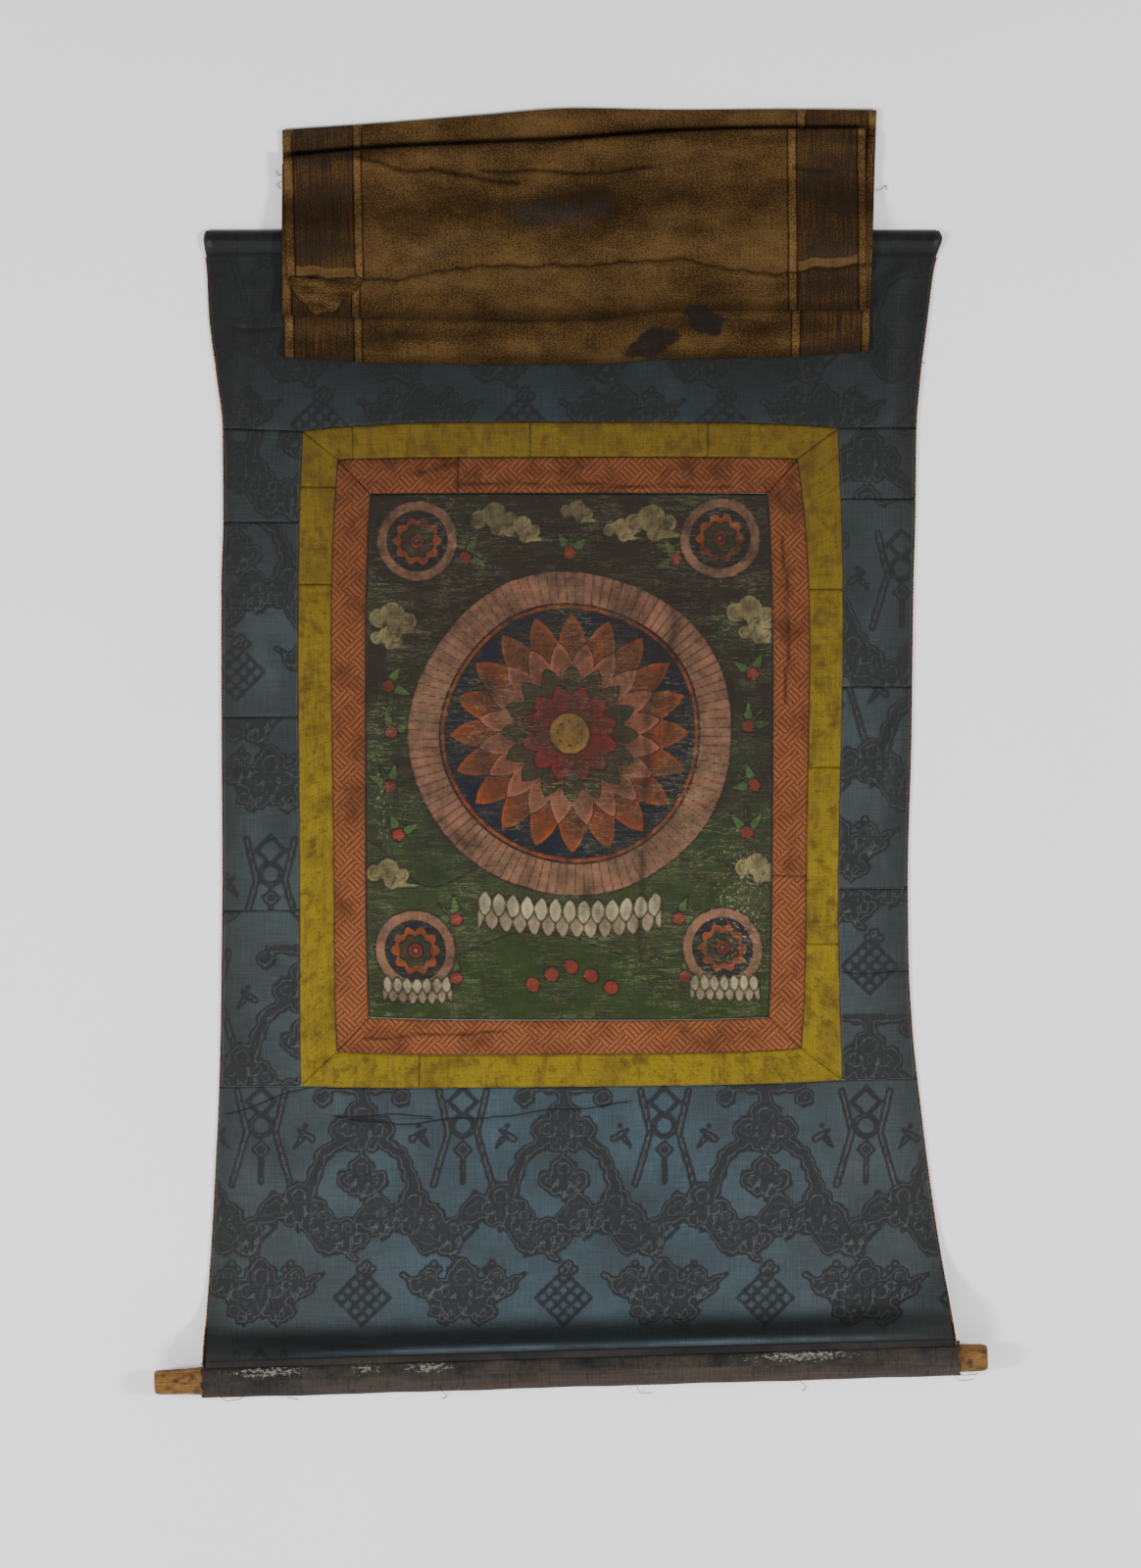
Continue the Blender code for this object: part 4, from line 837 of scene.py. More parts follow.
def orange_finish(colours):
    """Brocaded silk with a key-fret of slanting lines: blocks of five lines, each 2 mm
    wide on a 4.2 mm pitch, that lean one way and then the other."""
    material, node, uv, place = start_finish("Woven orange fret silk")
    across, up, _ = (node("SeparateXYZ", place, out=axis) for axis in range(3))
    wobble = node("TexNoise", {"Vector": place, "Scale": 70.0, "Detail": 3.0})
    lines, blocks = [], []
    for slant, block_mm in ((PLUS, 21.0), (LESS, 12.6)):
        slid = node("Math", node("Math", across, up, **slant), DIAGONAL_MM, **TIMES)
        slid = node("Math", slid, node("MapRange", {0: wobble, 3: -1.2, 4: 1.2}), **PLUS)
        lines.append(node("Math", slid, 2.1, operation="PINGPONG"))
        blocks.append(node("Math", node("Math", slid, block_mm, operation="DIVIDE"), operation="FLOOR"))
    turn = node("Math", node("Math", blocks[0], blocks[1], **PLUS), 2.0, operation="FLOORED_MODULO")
    line = node("Mix", {0: turn, 2: lines[0], 3: lines[1]}, data_type="FLOAT")
    fret = node("MapRange", line, 1.25, 0.75)
    base = node("Mix", {0: node("Math", fret, 0.75, **TIMES), 6: colours.orange, 7: colours.orange_fret},
                **COLOUR_MIX)
    worn = node("TexNoise", {"Vector": place, "Scale": 24.0, "Detail": 8.0, "Roughness": 0.7})
    dirt = node("Math", node("MapRange", worn, 0.46, 0.74, 0.0, 0.75),
                node("MapRange", up, -0.20, 0.25, 0.0, 0.36), **PLUS)
    base = node("Mix", {0: dirt, 6: base, 7: "#301C10"}, **COLOUR_MIX)
    seam = node("Attribute", attribute_name="edge_mm", **MARK)
    base = between(node, base, (seam, 0.8, 0.1, 0.45, "#190C06"))
    darn = node("Math", node("Attribute", attribute_name="darn", **MARK), 0.75, **TIMES)
    base = node("Mix", {0: darn, 6: base, 7: "#2A1309"}, **COLOUR_MIX)
    return weave(material, node, uv, base, node("Math", fret, 0.5, **TIMES), 0.16, 0.75, 0.1)


# Painted areas from the ground up: colour, how worn through it is, whether it is shaded
PaintRow = namedtuple("PaintRow", "mark tone worn shaded")
PAINT_ORDER = (
    PaintRow("hill", "#2A3518", 0.5, False), PaintRow("near_hill", "#23330F", 0.4, False),
    PaintRow("stem", "#3B5428", 0.4, False), PaintRow("cloud", "#82764E", 0.6, True),
    PaintRow("ring", "#7A5440", 0.45, False), PaintRow("disc", "#0D1122", 0.4, False),
    PaintRow("rim", "#7C3A1C", 0.5, False), PaintRow("petal", "#803C18", 0.5, True),
    PaintRow("inner_petal", "#8C5440", 0.5, True), PaintRow("leaf", "#1B2C1A", 0.5, True),
    PaintRow("heart", "#6A181C", 0.4, True), PaintRow("eye", "#6E5426", 0.5, False),
    PaintRow("bank", "#8E7C62", 0.45, True), PaintRow("bank_top", "#A29674", 0.45, True),
    PaintRow("jewel", "#74241A", 0.4, False),
)


def painting_finish(colours):
    """Distemper on sized cotton: flat mineral colours with drawn outlines, cracked across
    by years of rolling, with pale scratches and flaking over a brown grime."""
    material, node, uv, place = start_finish("Distemper on sized cotton")
    up = node("SeparateXYZ", place, out=1)
    broad = node("TexNoise", {"Vector": place, "Scale": 13.0, "Detail": 6.0, "Roughness": 0.6})
    level = node("Math", broad, node("MapRange", up, 0.15, -0.15, -0.08, 0.14), **PLUS)
    base = between(node, colours.paint_brown, (level, 0.42, 0.60, 1.0, colours.paint_green))
    wobble = node("TexNoise", {"Vector": place, "Scale": 120.0, "Detail": 4.0})
    wobble = node("MapRange", {0: wobble, 3: -1.1, 4: 1.1})
    faded = node("TexNoise", {"Vector": place, "Scale": 55.0, "Detail": 7.0, "Roughness": 0.7})
    for row in PAINT_ORDER:
        away = node("Math", node("Attribute", attribute_name=row.mark, **MARK), wobble, **PLUS)
        inside = node("MapRange", away, 0.4, -0.4)
        rubbed = node("MapRange", faded, 0.40, 0.72, 1.0, 1.0 - row.worn)
        base = node("Mix", {0: node("Math", inside, rubbed, **TIMES), 6: base, 7: row.tone}, **COLOUR_MIX)
        base = between(node, base, (node("Math", away, **WITHOUT_SIGN), 1.5, 0.5, 0.8, "#15100A"))
        if row.shaded:
            shade = node("MapRange", away, -1.0, -9.0, 0.0, 0.5)
            shade = node("Math", shade, inside, **TIMES)
            base = node("Mix", {0: shade, 6: base, 7: "#2E1C0E"}, **COLOUR_MIX)
    base = between(node, base, (node("Attribute", attribute_name="ray", **MARK), 1.3, 0.4, 0.65, "#26120A"))
    cracks = 0.0
    for size, strength in ((0.10, 0.9), (0.24, 0.6)):
        field = drawn_out(node, uv, 0.018, size, 6.0, 0.7)
        field = node("Math", node("Math", field, 0.5, **LESS), **WITHOUT_SIGN)
        where = node("TexNoise", {"Vector": place, "Scale": 130.0 * size, "Detail": 5.0})
        where = node("MapRange", where, 0.44, 0.60, 0.0, strength)
        crack = node("Math", node("MapRange", field, 0.010, 0.003), where, **TIMES)
        cracks = node("Math", crack, cracks, **LARGER)
    base = node("Mix", {0: cracks, 6: base, 7: "#7F7B5A"}, **COLOUR_MIX)
    flakes = node("TexNoise", {"Vector": place, "Scale": 330.0, "Detail": 5.0, "Roughness": 0.7})
    corner = node("Math", node("Attribute", attribute_name="flaked", **MARK), 0.12, **TIMES)
    flakes = node("Math", flakes, corner, **PLUS)
    base = between(node, base, (flakes, 0.69, 0.74, 0.8, "#9A9270"))
    drip = node("Math", node("Attribute", attribute_name="drip", **MARK),
                node("MapRange", faded, 0.3, 0.6, 0.25, 0.75), **TIMES)
    base = node("Mix", {0: drip, 6: base, 7: "#1C130B"}, **COLOUR_MIX)
    grime = node("TexNoise", {"Vector": place, "Scale": 30.0, "Detail": 9.0, "Roughness": 0.75})
    grime = node("Math", node("MapRange", grime, 0.36, 0.70, 0.0, 0.84),
                 node("MapRange", up, -0.12, 0.22, 0.0, 0.26), **PLUS)
    base = node("Mix", {0: grime, 6: base, 7: "#1C1710"}, **COLOUR_MIX)
    seam = node("Attribute", attribute_name="edge_mm", **MARK)
    base = between(node, base, (seam, 2.2, 0.2, 0.7, "#0C0A07"))
    return weave(material, node, uv, base, node("Math", cracks, -0.9, **TIMES), 0.16, 0.6, 0.2)


def veil_finish(name, silk, dark, stained=False, ribbed=False):
    """Thin old silk: gold-brown under a near-black mottling that runs with its weft; the
    borders are ribbed along their length, about 1.5 mm a rib, and split with age."""
    material, node, uv, place = start_finish(name)
    dirt, line, seam = (node("Attribute", attribute_name=mark, **MARK)
                        for mark in ("dirt", "crease", "edge_mm"))
    fine = drawn_out(node, uv, 0.50, 0.88, 4.0, 0.6)
    broad = drawn_out(node, place, 1.0, 1.7, 7.0, 0.62, scale=20.0)
    ragged = node("TexNoise", {"Vector": place, "Scale": 95.0, "Detail": 5.0})
    # The dirt mark is dirt, and painted shade just below two folds; it deepens the mottling and darkens the
    # silk
    level = node("Math", node("Math", dirt, 0.16, **TIMES),
                 node("Math", broad, 0.40, **TIMES), **PLUS)
    base = between(node, silk, (broad, 0.35, 0.65, 1.0, [tone * 0.72 for tone in silk]),
                   (node("Math", fine, level, **PLUS), 0.67, 0.80, 0.70, dark))
    base = node("Mix", {0: node("Math", dirt, 0.34, **TIMES), 6: base, 7: dark}, **COLOUR_MIX)
    # Painted shade along the veil's creases and folds
    base = node("Mix", {0: node("Math", line, 0.75, **TIMES), 6: base, 7: "#070401"}, **COLOUR_MIX)
    if stained:
        for mark, none, full, strength, tone in (("blot", 0.40, 0.60, 0.86, "#191716"),
                                                 ("haze", 0.2, 1.1, 0.40, "#24262A")):
            stain = node("Attribute", attribute_name=mark, **MARK)
            stain = node("Math", stain, node("MapRange", {0: ragged, 3: -0.55, 4: 0.55}), **PLUS)
            base = between(node, base, (stain, none, full, strength, tone))
    if ribbed:
        rib = drawn_out(node, uv, 0.75, 0.014, 3.0)
        band = node("Attribute", attribute_name="band", **MARK)
        band = node("Math", band, node("MapRange", {0: ragged, 3: -0.6, 4: 0.6}), **PLUS)
        base = between(node, base, (rib, 0.44, 0.60, 0.6, "#160F08"), (broad, 0.45, 0.62, 0.4, "#2A231C"),
                       (band, 0.6, 0.8, 0.6, "#5A4326"))
    seam = node("Math", seam, node("MapRange", {0: ragged, 3: -0.9, 4: 0.9}), **PLUS)
    base = between(node, base, (seam, 1.1, 0.1, 0.45, "#0A0602"))
    return weave(material, node, uv, base, fine, 0.24, 0.85, 0.06, 0.0005)


def sleeve_finish(colours):
    """Coarse cloth darkened brown-grey by handling, streaked along the roller, with pale
    flaky specks worn through on its upper side."""
    material, node, uv, place = start_finish("Worn sleeve cloth")
    upper, worn = (node("Attribute", attribute_name=mark, **MARK) for mark in ("upper", "worn"))
    streak = drawn_out(node, uv, 0.012, 0.22, 7.0, 0.75)
    base = between(node, colours.sleeve, (streak, 0.36, 0.66, 0.5, "#1D1A18"))
    blotch = node("TexNoise", {"Vector": uv, "Scale": 0.024, "Detail": 8.0, "Roughness": 0.75})
    left = node("MapRange", node("SeparateXYZ", place, out=0), -0.20, -0.27, 0.0, 0.7)
    for share, low, high in ((left, 0.30, 0.60), (upper, 0.36, 0.62)):
        patch = node("Math", node("MapRange", blotch, low, high), share, **TIMES)
        base = node("Mix", {0: patch, 6: base, 7: "#1C1E1E"}, **COLOUR_MIX)
    # Painted shade: thin dark lines where the sleeve is creased round the roller
    pleat = node("Math", drawn_out(node, uv, 0.11, 0.012, 2.0), 0.5, **LESS)
    specks = drawn_out(node, uv, 0.22, 0.34, 4.0, 0.75)
    worn = node("Math", node("MapRange", specks, 0.35, 0.65, 0.0, 0.6),
                node("Math", worn, 0.5, **TIMES), **PLUS)
    base = between(node, base, (node("Math", pleat, **WITHOUT_SIGN), 0.012, 0.003, 0.45, "#100E0D"),
                   (worn, 0.71, 0.80, 0.6, "#8C867C"))
    return weave(material, node, uv, base, streak, 0.22, 0.8, 0.12, 0.0006)


def wood_finish(colours):
    """Hand-cut softwood, ochre and rubbed, with grain lines 1 to 2 mm apart along it and
    dirt in its cuts."""
    material, node, uv, _ = start_finish("Hand-cut softwood")
    grain = drawn_out(node, uv, 0.03, 0.7, 7.0, 0.7)
    rub = node("TexNoise", {"Vector": uv, "Scale": 0.10, "Detail": 6.0})
    base = between(node, colours.wood, (grain, 0.38, 0.66, 1.0, "#4B2E10"), (rub, 0.5, 0.66, 0.85, "#24160A"))
    return weave(material, node, uv, base, grain, 0.08, 0.6, 0.25, 0.0005)


def thread_finish(colours):
    """Twisted brown thread, dull, its colour changing along its length."""
    material, node, uv, _ = start_finish("Twisted cotton thread")
    tone = node("TexNoise", {"Vector": uv, "Scale": 0.3, "Detail": 4.0})
    base = between(node, colours.thread, (tone, 0.35, 0.65, 1.0, "#1C120A"))
    return weave(material, node, uv, base, tone, 0.2, 0.85, 0.1, 0.0002)


def floor_finish(colours):
    """A pale studio floor, painted matte, with the faintest unevenness."""
    material, node, _, place = start_finish("Matte painted floor")
    tone = node("TexNoise", {"Vector": place, "Scale": 3.0, "Detail": 2.0})
    base = between(node, colours.floor, (tone, 0.3, 0.7, 1.0, [v * 0.97 for v in colours.floor]))
    shader = material.node_tree.nodes["Principled BSDF"]
    material.node_tree.links.new(base, shader.inputs["Base Color"])
    shader.inputs["Roughness"].default_value = 0.9
    shader.inputs["Specular IOR Level"].default_value = 0.1
    return material


def unit_grid(columns, rows):
    """U and V of a grid, both 0 to 1."""
    return np.meshgrid(np.linspace(0, 1, columns + 1), np.linspace(0, 1, rows + 1))


def facing_share(outer, inner, side, share):
    """Share of the inner edge straight across from a share of the outer edge."""
    if share in (0.0, 1.0):
        return share
    x, y = edge_points(outer, side, share)
    edge = inner[side]
    return ((x - edge.x0) / (edge.x1 - edge.x0) if side in ("top", "bottom")
            else (y - edge.y0) / (edge.y1 - edge.y0))


def lay_strip(node, outer, inner, side, start, end, material, sizes):
    """A border strip between two shares of a side: straight lines from the inner edge to
    the outer edge, slightly full along the middle."""
    edge = outer[side]
    run = (end - start) * hypot(edge.x1 - edge.x0, edge.y1 - edge.y0)
    inner_start, inner_end = facing_share(outer, inner, side, start), facing_share(outer, inner, side, end)
    u, v = unit_grid(max(6, round(run / STRIP_STEP)), STRIP_ROWS)
    margin_u, margin_v = SEAM_GAP / run, SEAM_GAP / STRIP_WIDTH
    along, across = margin_u + (1 - 2 * margin_u) * u, margin_v + (1 - 2 * margin_v) * v
    outer_x, outer_y = edge_points(outer, side, start + (end - start) * along)
    inner_x, inner_y = edge_points(inner, side, inner_start + (inner_end - inner_start) * along)
    x, y = inner_x + (outer_x - inner_x) * across, inner_y + (outer_y - inner_y) * across
    uv = np.stack([along * run + start * 900.0, across * STRIP_WIDTH], axis=-1)
    marks = {"edge_mm": edge_distance(run, STRIP_WIDTH, u, v), "darn": crease_field(x, y, DARNS)[1]}
    lay_cloth(node, x, y, 0.25 * np.sin(pi * v), material, sizes, marks, sizes.mount_thick, uv=uv)


def lay_border(prefix, outer, inner, joins, material, sizes):
    """All the strips of one border."""
    for side in ("top", "right", "bottom", "left"):
        cuts = (0.0, *joins[side], 1.0)
        for number, (start, end) in enumerate(zip(cuts, cuts[1:]), 1):
            node = f"{prefix}_{side}_{number}" if joins[side] else f"{prefix}_{side}"
            lay_strip(node, outer, inner, side, start, end, material, sizes)


def lay_painting(material, sizes):
    """The painted cotton between its four bowed edges, ridged across where it was rolled."""
    u, v = unit_grid(*PAINTING_CELLS)
    left_x, _ = edge_points(PAINTING_EDGE, "left", 1 - v)
    right_x, _ = edge_points(PAINTING_EDGE, "right", 1 - v)
    _, top_y = edge_points(PAINTING_EDGE, "top", u)
    _, bottom_y = edge_points(PAINTING_EDGE, "bottom", u)
    share_x, share_y = 0.001 + 0.998 * u, 0.001 + 0.998 * v
    x = left_x + (right_x - left_x) * share_x
    y = bottom_y + (top_y - bottom_y) * share_y
    ridges = 0.12 * np.sin(y / 4.3 + 1.6 * np.sin(x / 70.0)) + 0.10 * np.sin(y / 9.1 + x / 55.0)
    marks = {"edge_mm": edge_distance(*PAINTING_SIZE, u, v), **painted_layers(x, y)}
    lay_cloth("painting_canvas", x, y, 0.25 + ridges, material, sizes, marks,
              sizes.painting_thick)


def place_on_edge(ring, side, y):
    """X of a left or right edge at a Y."""
    edge = ring[side]
    return edge_points(ring, side, (y - edge.y0) / (edge.y1 - edge.y0))[0]


def lay_side_pieces(material, sizes):
    """The blue pieces down each side, between the outline and the yellow border."""
    for side, joins in (("left", LEFT_JOINS), ("right", RIGHT_JOINS)):
        edge, column, inward = YELLOW_OUTER[side], int(side == "right"), 1 if side == "left" else -1
        outline = left_side if side == "left" else right_side
        tops = ((TOP_PANEL_Y[column], edge.y0), *((y, y) for y in joins))
        bottoms = (*((y, y) for y in joins), (BOTTOM_PANEL_Y[column], edge.y1))
        for number, (top, bottom) in enumerate(zip(tops, bottoms), 1):
            run = top[0] - bottom[0]
            u, v = unit_grid(SIDE_COLUMNS, round(run / SIDE_STEP))
            share_v = SEAM_GAP / run + (1 - 2 * SEAM_GAP / run) * v
            share = u if side == "left" else 1 - u
            y_outer = bottom[0] + (top[0] - bottom[0]) * share_v
            y_inner = bottom[1] + (top[1] - bottom[1]) * share_v
            outer_x = outline(y_outer) + inward * EDGE_MARGIN
            inner_x = place_on_edge(YELLOW_OUTER, side, y_inner) - inward * SEAM_GAP
            x, y = outer_x + (inner_x - outer_x) * share, y_outer + (y_inner - y_outer) * share
            shift = 61.0 * number + 37.0 * column
            marks = damask_marks(x, y, shift, 1.7 * shift)
            marks["edge_mm"] = edge_distance(SIDE_WIDTH, run, u, v)
            lay_cloth(f"mount_{side}_{number}", x, y, 0 * x, material, sizes, marks,
                      sizes.mount_thick)


def across_mounting(u, y):
    """X at a share of the width, with two shares kept for the border's corners."""
    left, right = left_side(y) + EDGE_MARGIN, right_side(y) - EDGE_MARGIN
    left_corner = (YELLOW_OUTER["top"].x0 + YELLOW_OUTER["bottom"].x0) / 2
    right_corner = (YELLOW_OUTER["top"].x1 + YELLOW_OUTER["bottom"].x1) / 2
    first = np.clip(u / CORNER_SHARE, 0, 1)
    middle = np.clip((u - CORNER_SHARE) / (1 - 2 * CORNER_SHARE), 0, 1)
    last = np.clip((u - 1 + CORNER_SHARE) / CORNER_SHARE, 0, 1)
    x = left + (left_corner - left) * first + (right_corner - left_corner) * middle
    return x + (right - right_corner) * last


def seam_at(ring_side, outer_y, x):
    """Y against X of a full-width panel's seam: straight to the border's corner, then
    along the border's edge."""
    edge = YELLOW_OUTER[ring_side]
    inside = np.clip(x, edge.x0, edge.x1)
    along = edge_points(YELLOW_OUTER, ring_side, (inside - edge.x0) / (edge.x1 - edge.x0))[1]
    left_y = edge.y0 + (outer_y[0] - edge.y0) * np.clip((edge.x0 - x) / (edge.x0 - WAIST.left), 0, 1.2)
    right_y = edge.y1 + (outer_y[1] - edge.y1) * np.clip((x - edge.x1) / (WAIST.right - edge.x1), 0, 1.2)
    return np.where(x < edge.x0, left_y, np.where(x > edge.x1, right_y, along))


def panel_grid(u, shares, low, high):
    """X and Y of a full-width panel between two lines given as Y against X."""
    y = low(0 * u) + (high(0 * u) - low(0 * u)) * shares
    for _ in range(4):
        x = across_mounting(u, y)
        y = low(x) + (high(x) - low(x)) * shares
    return x, y


def lay_top_panel(material, sizes):
    """The head panel: flat, then over the stuffed hem and down its far side. Its hem is
    the height table against distance from the edge, rounded off at both ends."""
    inset_rows = np.concatenate([np.linspace(HEAD_SIZE[1], 24.0, 66), np.linspace(22.0, 0.0, 26)])
    u, _ = unit_grid(HEAD_COLUMNS, len(inset_rows) - 1)
    inset = np.repeat(inset_rows[:, None], u.shape[1], axis=1)
    shares = 1 - inset / inset_rows[0]
    x, y = panel_grid(u, shares, lambda x: seam_at("top", TOP_PANEL_Y, x) + SEAM_GAP,
                      lambda x: HEAD_Y - 0.4 + 0 * x)
    to_side = np.minimum(x - left_side(y), right_side(y) - x)
    full = np.interp(inset, HEM_INSET, HEM_HEIGHT)
    raised = (full - HEM_HEIGHT[-1]) * np.sqrt(np.clip(to_side / HEM_ROUND, 0, 1))
    raised = np.where(inset < HEM_INSET[-1], raised, 0.0)
    marks = {"edge_mm": edge_distance(*HEAD_SIZE, u, shares), **damask_marks(x, y, 46.0, -20.0)}
    lay_cloth("mount_top_panel", x, y, np.maximum(raised, 0.0), material, sizes, marks,
              sizes.mount_thick)


def lay_bottom_panel(material, sizes):
    """The foot panel: flat, then up the climb table to the seam on the roller's sleeve, the
    waves settling out of it as it climbs. It is marked for painted shade over the climb,
    for a painted highlight along the top of the climb, and where the sleeve's cloth laps over it."""
    u, v = unit_grid(*FOOT_CELLS)
    x, y = panel_grid(u, v, lambda x: roller_line(x, RISE_AWAY[0]),
                      lambda x: seam_at("bottom", BOTTOM_PANEL_Y, x) - SEAM_GAP)
    away = away_from_roller(x, y)
    settle = -eased((70.0 - away) / 45.0) * (lie(x, y, sizes.wave / MM)[0] + 0.9)
    # Painted highlight along the top of the climb, fading towards both ends
    painted_crest_highlight = np.exp(-((away - 21.9) / 2.1) ** 2) * eased((x + 270.0) / 110.0) * eased((350.0 - x) / 160.0)
    marks = {"edge_mm": edge_distance(*FOOT_SIZE, u, v), **damask_marks(x, y, 6.75, 302.0),
             "painted_climb_shade": eased((53.0 - away) / 18.0), "painted_crest_highlight": painted_crest_highlight,
             "lap": np.clip(LAP_LEVEL + LAP_AWAY - away, 0.0, 2 * LAP_LEVEL)}
    lay_cloth("mount_bottom_panel", x, y, rise(x, y) + settle, material, sizes, marks,
              sizes.mount_thick)


def grid_uv(along, around):
    """The UV map of a grid with these distances along it and around it."""
    return np.stack(np.broadcast_arrays(along[:, None], around[None, :]), axis=-1)


def tube(name, path, radius, sides):
    """Rings round a path in mm: each ring lies across the path, its own radius at each of
    its sides, capped at both ends."""
    tangent = np.gradient(path, axis=0)
    tangent /= np.linalg.norm(tangent, axis=1, keepdims=True)
    side = np.cross(tangent, (0.0, 0.0, 1.0))
    side /= np.linalg.norm(side, axis=1, keepdims=True)
    up = np.cross(side, tangent)
    angle = np.arange(sides) * 2 * pi / sides
    radius = np.broadcast_to(radius, (len(path), sides))
    ring = (side[:, None, :] * np.cos(angle)[None, :, None] + up[:, None, :] * np.sin(angle)[None, :, None])
    points = path[:, None, :] + ring * radius[:, :, None]
    walked = np.concatenate([[0.0], np.cumsum(np.linalg.norm(np.diff(path, axis=0), axis=1))])
    around = np.arange(sides + 1) / sides * 2 * pi * radius.mean()
    return surface(name, points, grid_uv(walked, around), wrap=True, shut=True)


def wind_edge_cords(material, sizes):
    """The overcast edge: a cord along each side whose radius swells where each stitch
    wraps it, 1 + 0.2 cos of the distance plus the turn."""
    for side, outline, inward in (("left", left_side, 1), ("right", right_side, -1)):
        top, bottom = HEAD_Y - 24.0, roller_line(outline(OUTLINE[-1].y), RISE_AWAY[0] + 1.0)
        radius, pitch = sizes.cord_radius / MM, sizes.stitch_pitch / MM
        y = np.linspace(top, float(bottom), 1700)
        x = outline(y) + inward * radius
        z = rise(x, y) + radius + 0.4 + 0.25 * np.sin(y / 37.0)
        path = np.stack([x, y, z], axis=1)
        angle = np.arange(8) * pi / 4
        walked = (top - y)[:, None]
        bulge = radius * (0.92 + 0.2 * np.cos(2 * pi * walked / pitch + angle[None, :]))
        mesh = tube(f"edge_cord_{side}_thread", path, bulge, 8)
        place_piece(f"edge_cord_{side}_thread", mesh, material, f"edge_cord_{side}")


def on_roller(along, around, radius):
    """X, Y, Z of a point on the roller: so far along its axis, turned by an angle from
    the top towards the head."""
    cx = SLEEVE_LEFT[0] + along * cos(ROLLER_TILT)
    cy = SLEEVE_LEFT[1] + along * sin(ROLLER_TILT)
    out, up = radius * np.sin(around), radius * np.cos(around)
    return np.stack([cx - out * sin(ROLLER_TILT), cy + out * cos(ROLLER_TILT), SLEEVE_RADIUS + up], axis=-1)


def fit_sleeve(material):
    """The cloth tube: a circle whose radius ripples along and round it, with a seam ridge
    on top and ragged ends. It is marked where it is worn pale and on its upper side."""
    rings = np.linspace(0, SLEEVE_LENGTH, SLEEVE_RINGS)
    turns = np.arange(SLEEVE_SIDES + 1) * 2 * pi / SLEEVE_SIDES
    along, around = np.meshgrid(rings, turns[:-1], indexing="ij")
    ripple = (0.22 * np.sin(along / 23.0 + 2 * around) + 0.16 * np.sin(along / 9.0 - 3 * around)
              + 0.14 * np.sin(5 * around + along / 61.0))
    seam = 0.5 * np.exp(-((around - 0.72) / 0.05) ** 2)
    ragged = (1.3 * np.sin(7 * around) * np.exp(-along / 5)
              - 1.5 * np.sin(5 * around + 1) * np.exp(-(SLEEVE_LENGTH - along) / 5))
    points = on_roller(along + ragged, around, SLEEVE_RADIUS - 0.75 + ripple + seam)
    points[..., 2] = np.maximum(points[..., 2], 0.1)
    worn = sum(np.exp(-((along - at) / wide) ** 2) for at, wide in SLEEVE_WEAR)
    worn = np.clip(worn * np.exp(-((around - 0.50) / 0.40) ** 2), 0.0, 1.0)
    marks = {"worn": worn, "upper": eased(0.15 + np.cos(around - 0.9))}
    mesh = surface("roller_sleeve_cloth", points, grid_uv(rings, turns * SLEEVE_RADIUS), marks, wrap=True)
    piece = place_piece("roller_sleeve_cloth", mesh, material, "roller_sleeve",
                        SLEEVE_THICK, -1.0)


def cut_roller(material):
    """The wooden roller: its radius follows the knob tables, flattened into fourteen hand-cut
    facets with small tool marks along them."""
    profile = [*((-out, r) for out, r in LEFT_KNOB[::-1]), (3.0, 13.2), (SLEEVE_LENGTH - 3.0, 13.2),
               *((SLEEVE_LENGTH + out, r) for out, r in RIGHT_KNOB)]
    stations, radii = zip(*profile)
    fine = np.concatenate([np.linspace(stations[0], 10.0, 40), np.linspace(30.0, SLEEVE_LENGTH - 30.0, 8),
                           np.linspace(SLEEVE_LENGTH - 10.0, stations[-1], 30)])
    turns = np.arange(ROLLER_SIDES + 1) * 2 * pi / ROLLER_SIDES
    along, around = np.meshgrid(fine, turns[:-1], indexing="ij")
    facet = (around * ROLLER_FACETS / (2 * pi)) % 1.0 - 0.5
    flat = cos(pi / ROLLER_FACETS) / np.cos(facet * 2 * pi / ROLLER_FACETS)
    marks = 0.15 * np.sin(along / 2.7 + 5 * around) * (np.abs(facet) < 0.4)
    points = on_roller(along, around, np.interp(along, stations, radii) * flat + marks - 0.15)
    mesh = surface("roller_wood", points, grid_uv(fine, turns * 12.5), wrap=True, shut=True)
    mesh.polygons.foreach_set("use_smooth", np.zeros(len(mesh.polygons), bool))
    place_piece("roller_wood", mesh, material, "roller")


def fold_line(fold, across):
    """Height up the page of a fold line at a share of the veil's width; the free hem
    is frayed in two sines."""
    frayed = 0.8 * np.sin(across * 131.0 + 2.0 * np.sin(across * 23.0)) + 0.7 * np.sin(across * 57.0)
    return smooth_through(FOLD_STATIONS, fold[:7], across) + frayed * (fold is VEIL_FOLDS[-1])


def veil_height(layer, x, y, across):
    """Middle height of a layer: the ground, the layers under it and their puffed folds.
    All the layers share one set of wrinkles, so that none cuts through another."""
    wrinkle = 0.35 * np.sin(y / 6.5 + 1.4 * np.sin(x / 58.0)) + 0.30 * np.sin(y / 13.0 - x / 47.0)
    wrinkle = 0.7 + wrinkle + 0.12 * np.sin(x / 5.0 + y / 31.0)
    height = smooth_through(GROUND_Y, GROUND_HEIGHT, y) + FIRST_LAYER_HEIGHT + wrinkle
    settled = eased((y - BACK_LAYER_SETTLES) / (BACK_LAYER_REACHES - BACK_LAYER_SETTLES))
    for below in range(layer):
        fold = VEIL_FOLDS[below + 1]
        near = np.abs(y - fold_line(fold, across))
        height = height + (settled if below == 0 else 1.0) * LAYER_PITCH
        height = height + fold.puff * (1 - eased(near / PUFF_REACH))
    if layer == FRONT_LAYER:
        from_hem = y - fold_line(VEIL_FOLDS[-1], across)
        crinkle = 0.6 * np.sin(x / 3.1) * np.sin(x / 17.0)
        height = height + crease_field(x, y, FRONT_CREASES)[0]
        height = height + (1.1 + crinkle) * np.exp(-((from_hem - 3.5) / 2.4) ** 2)
    return height
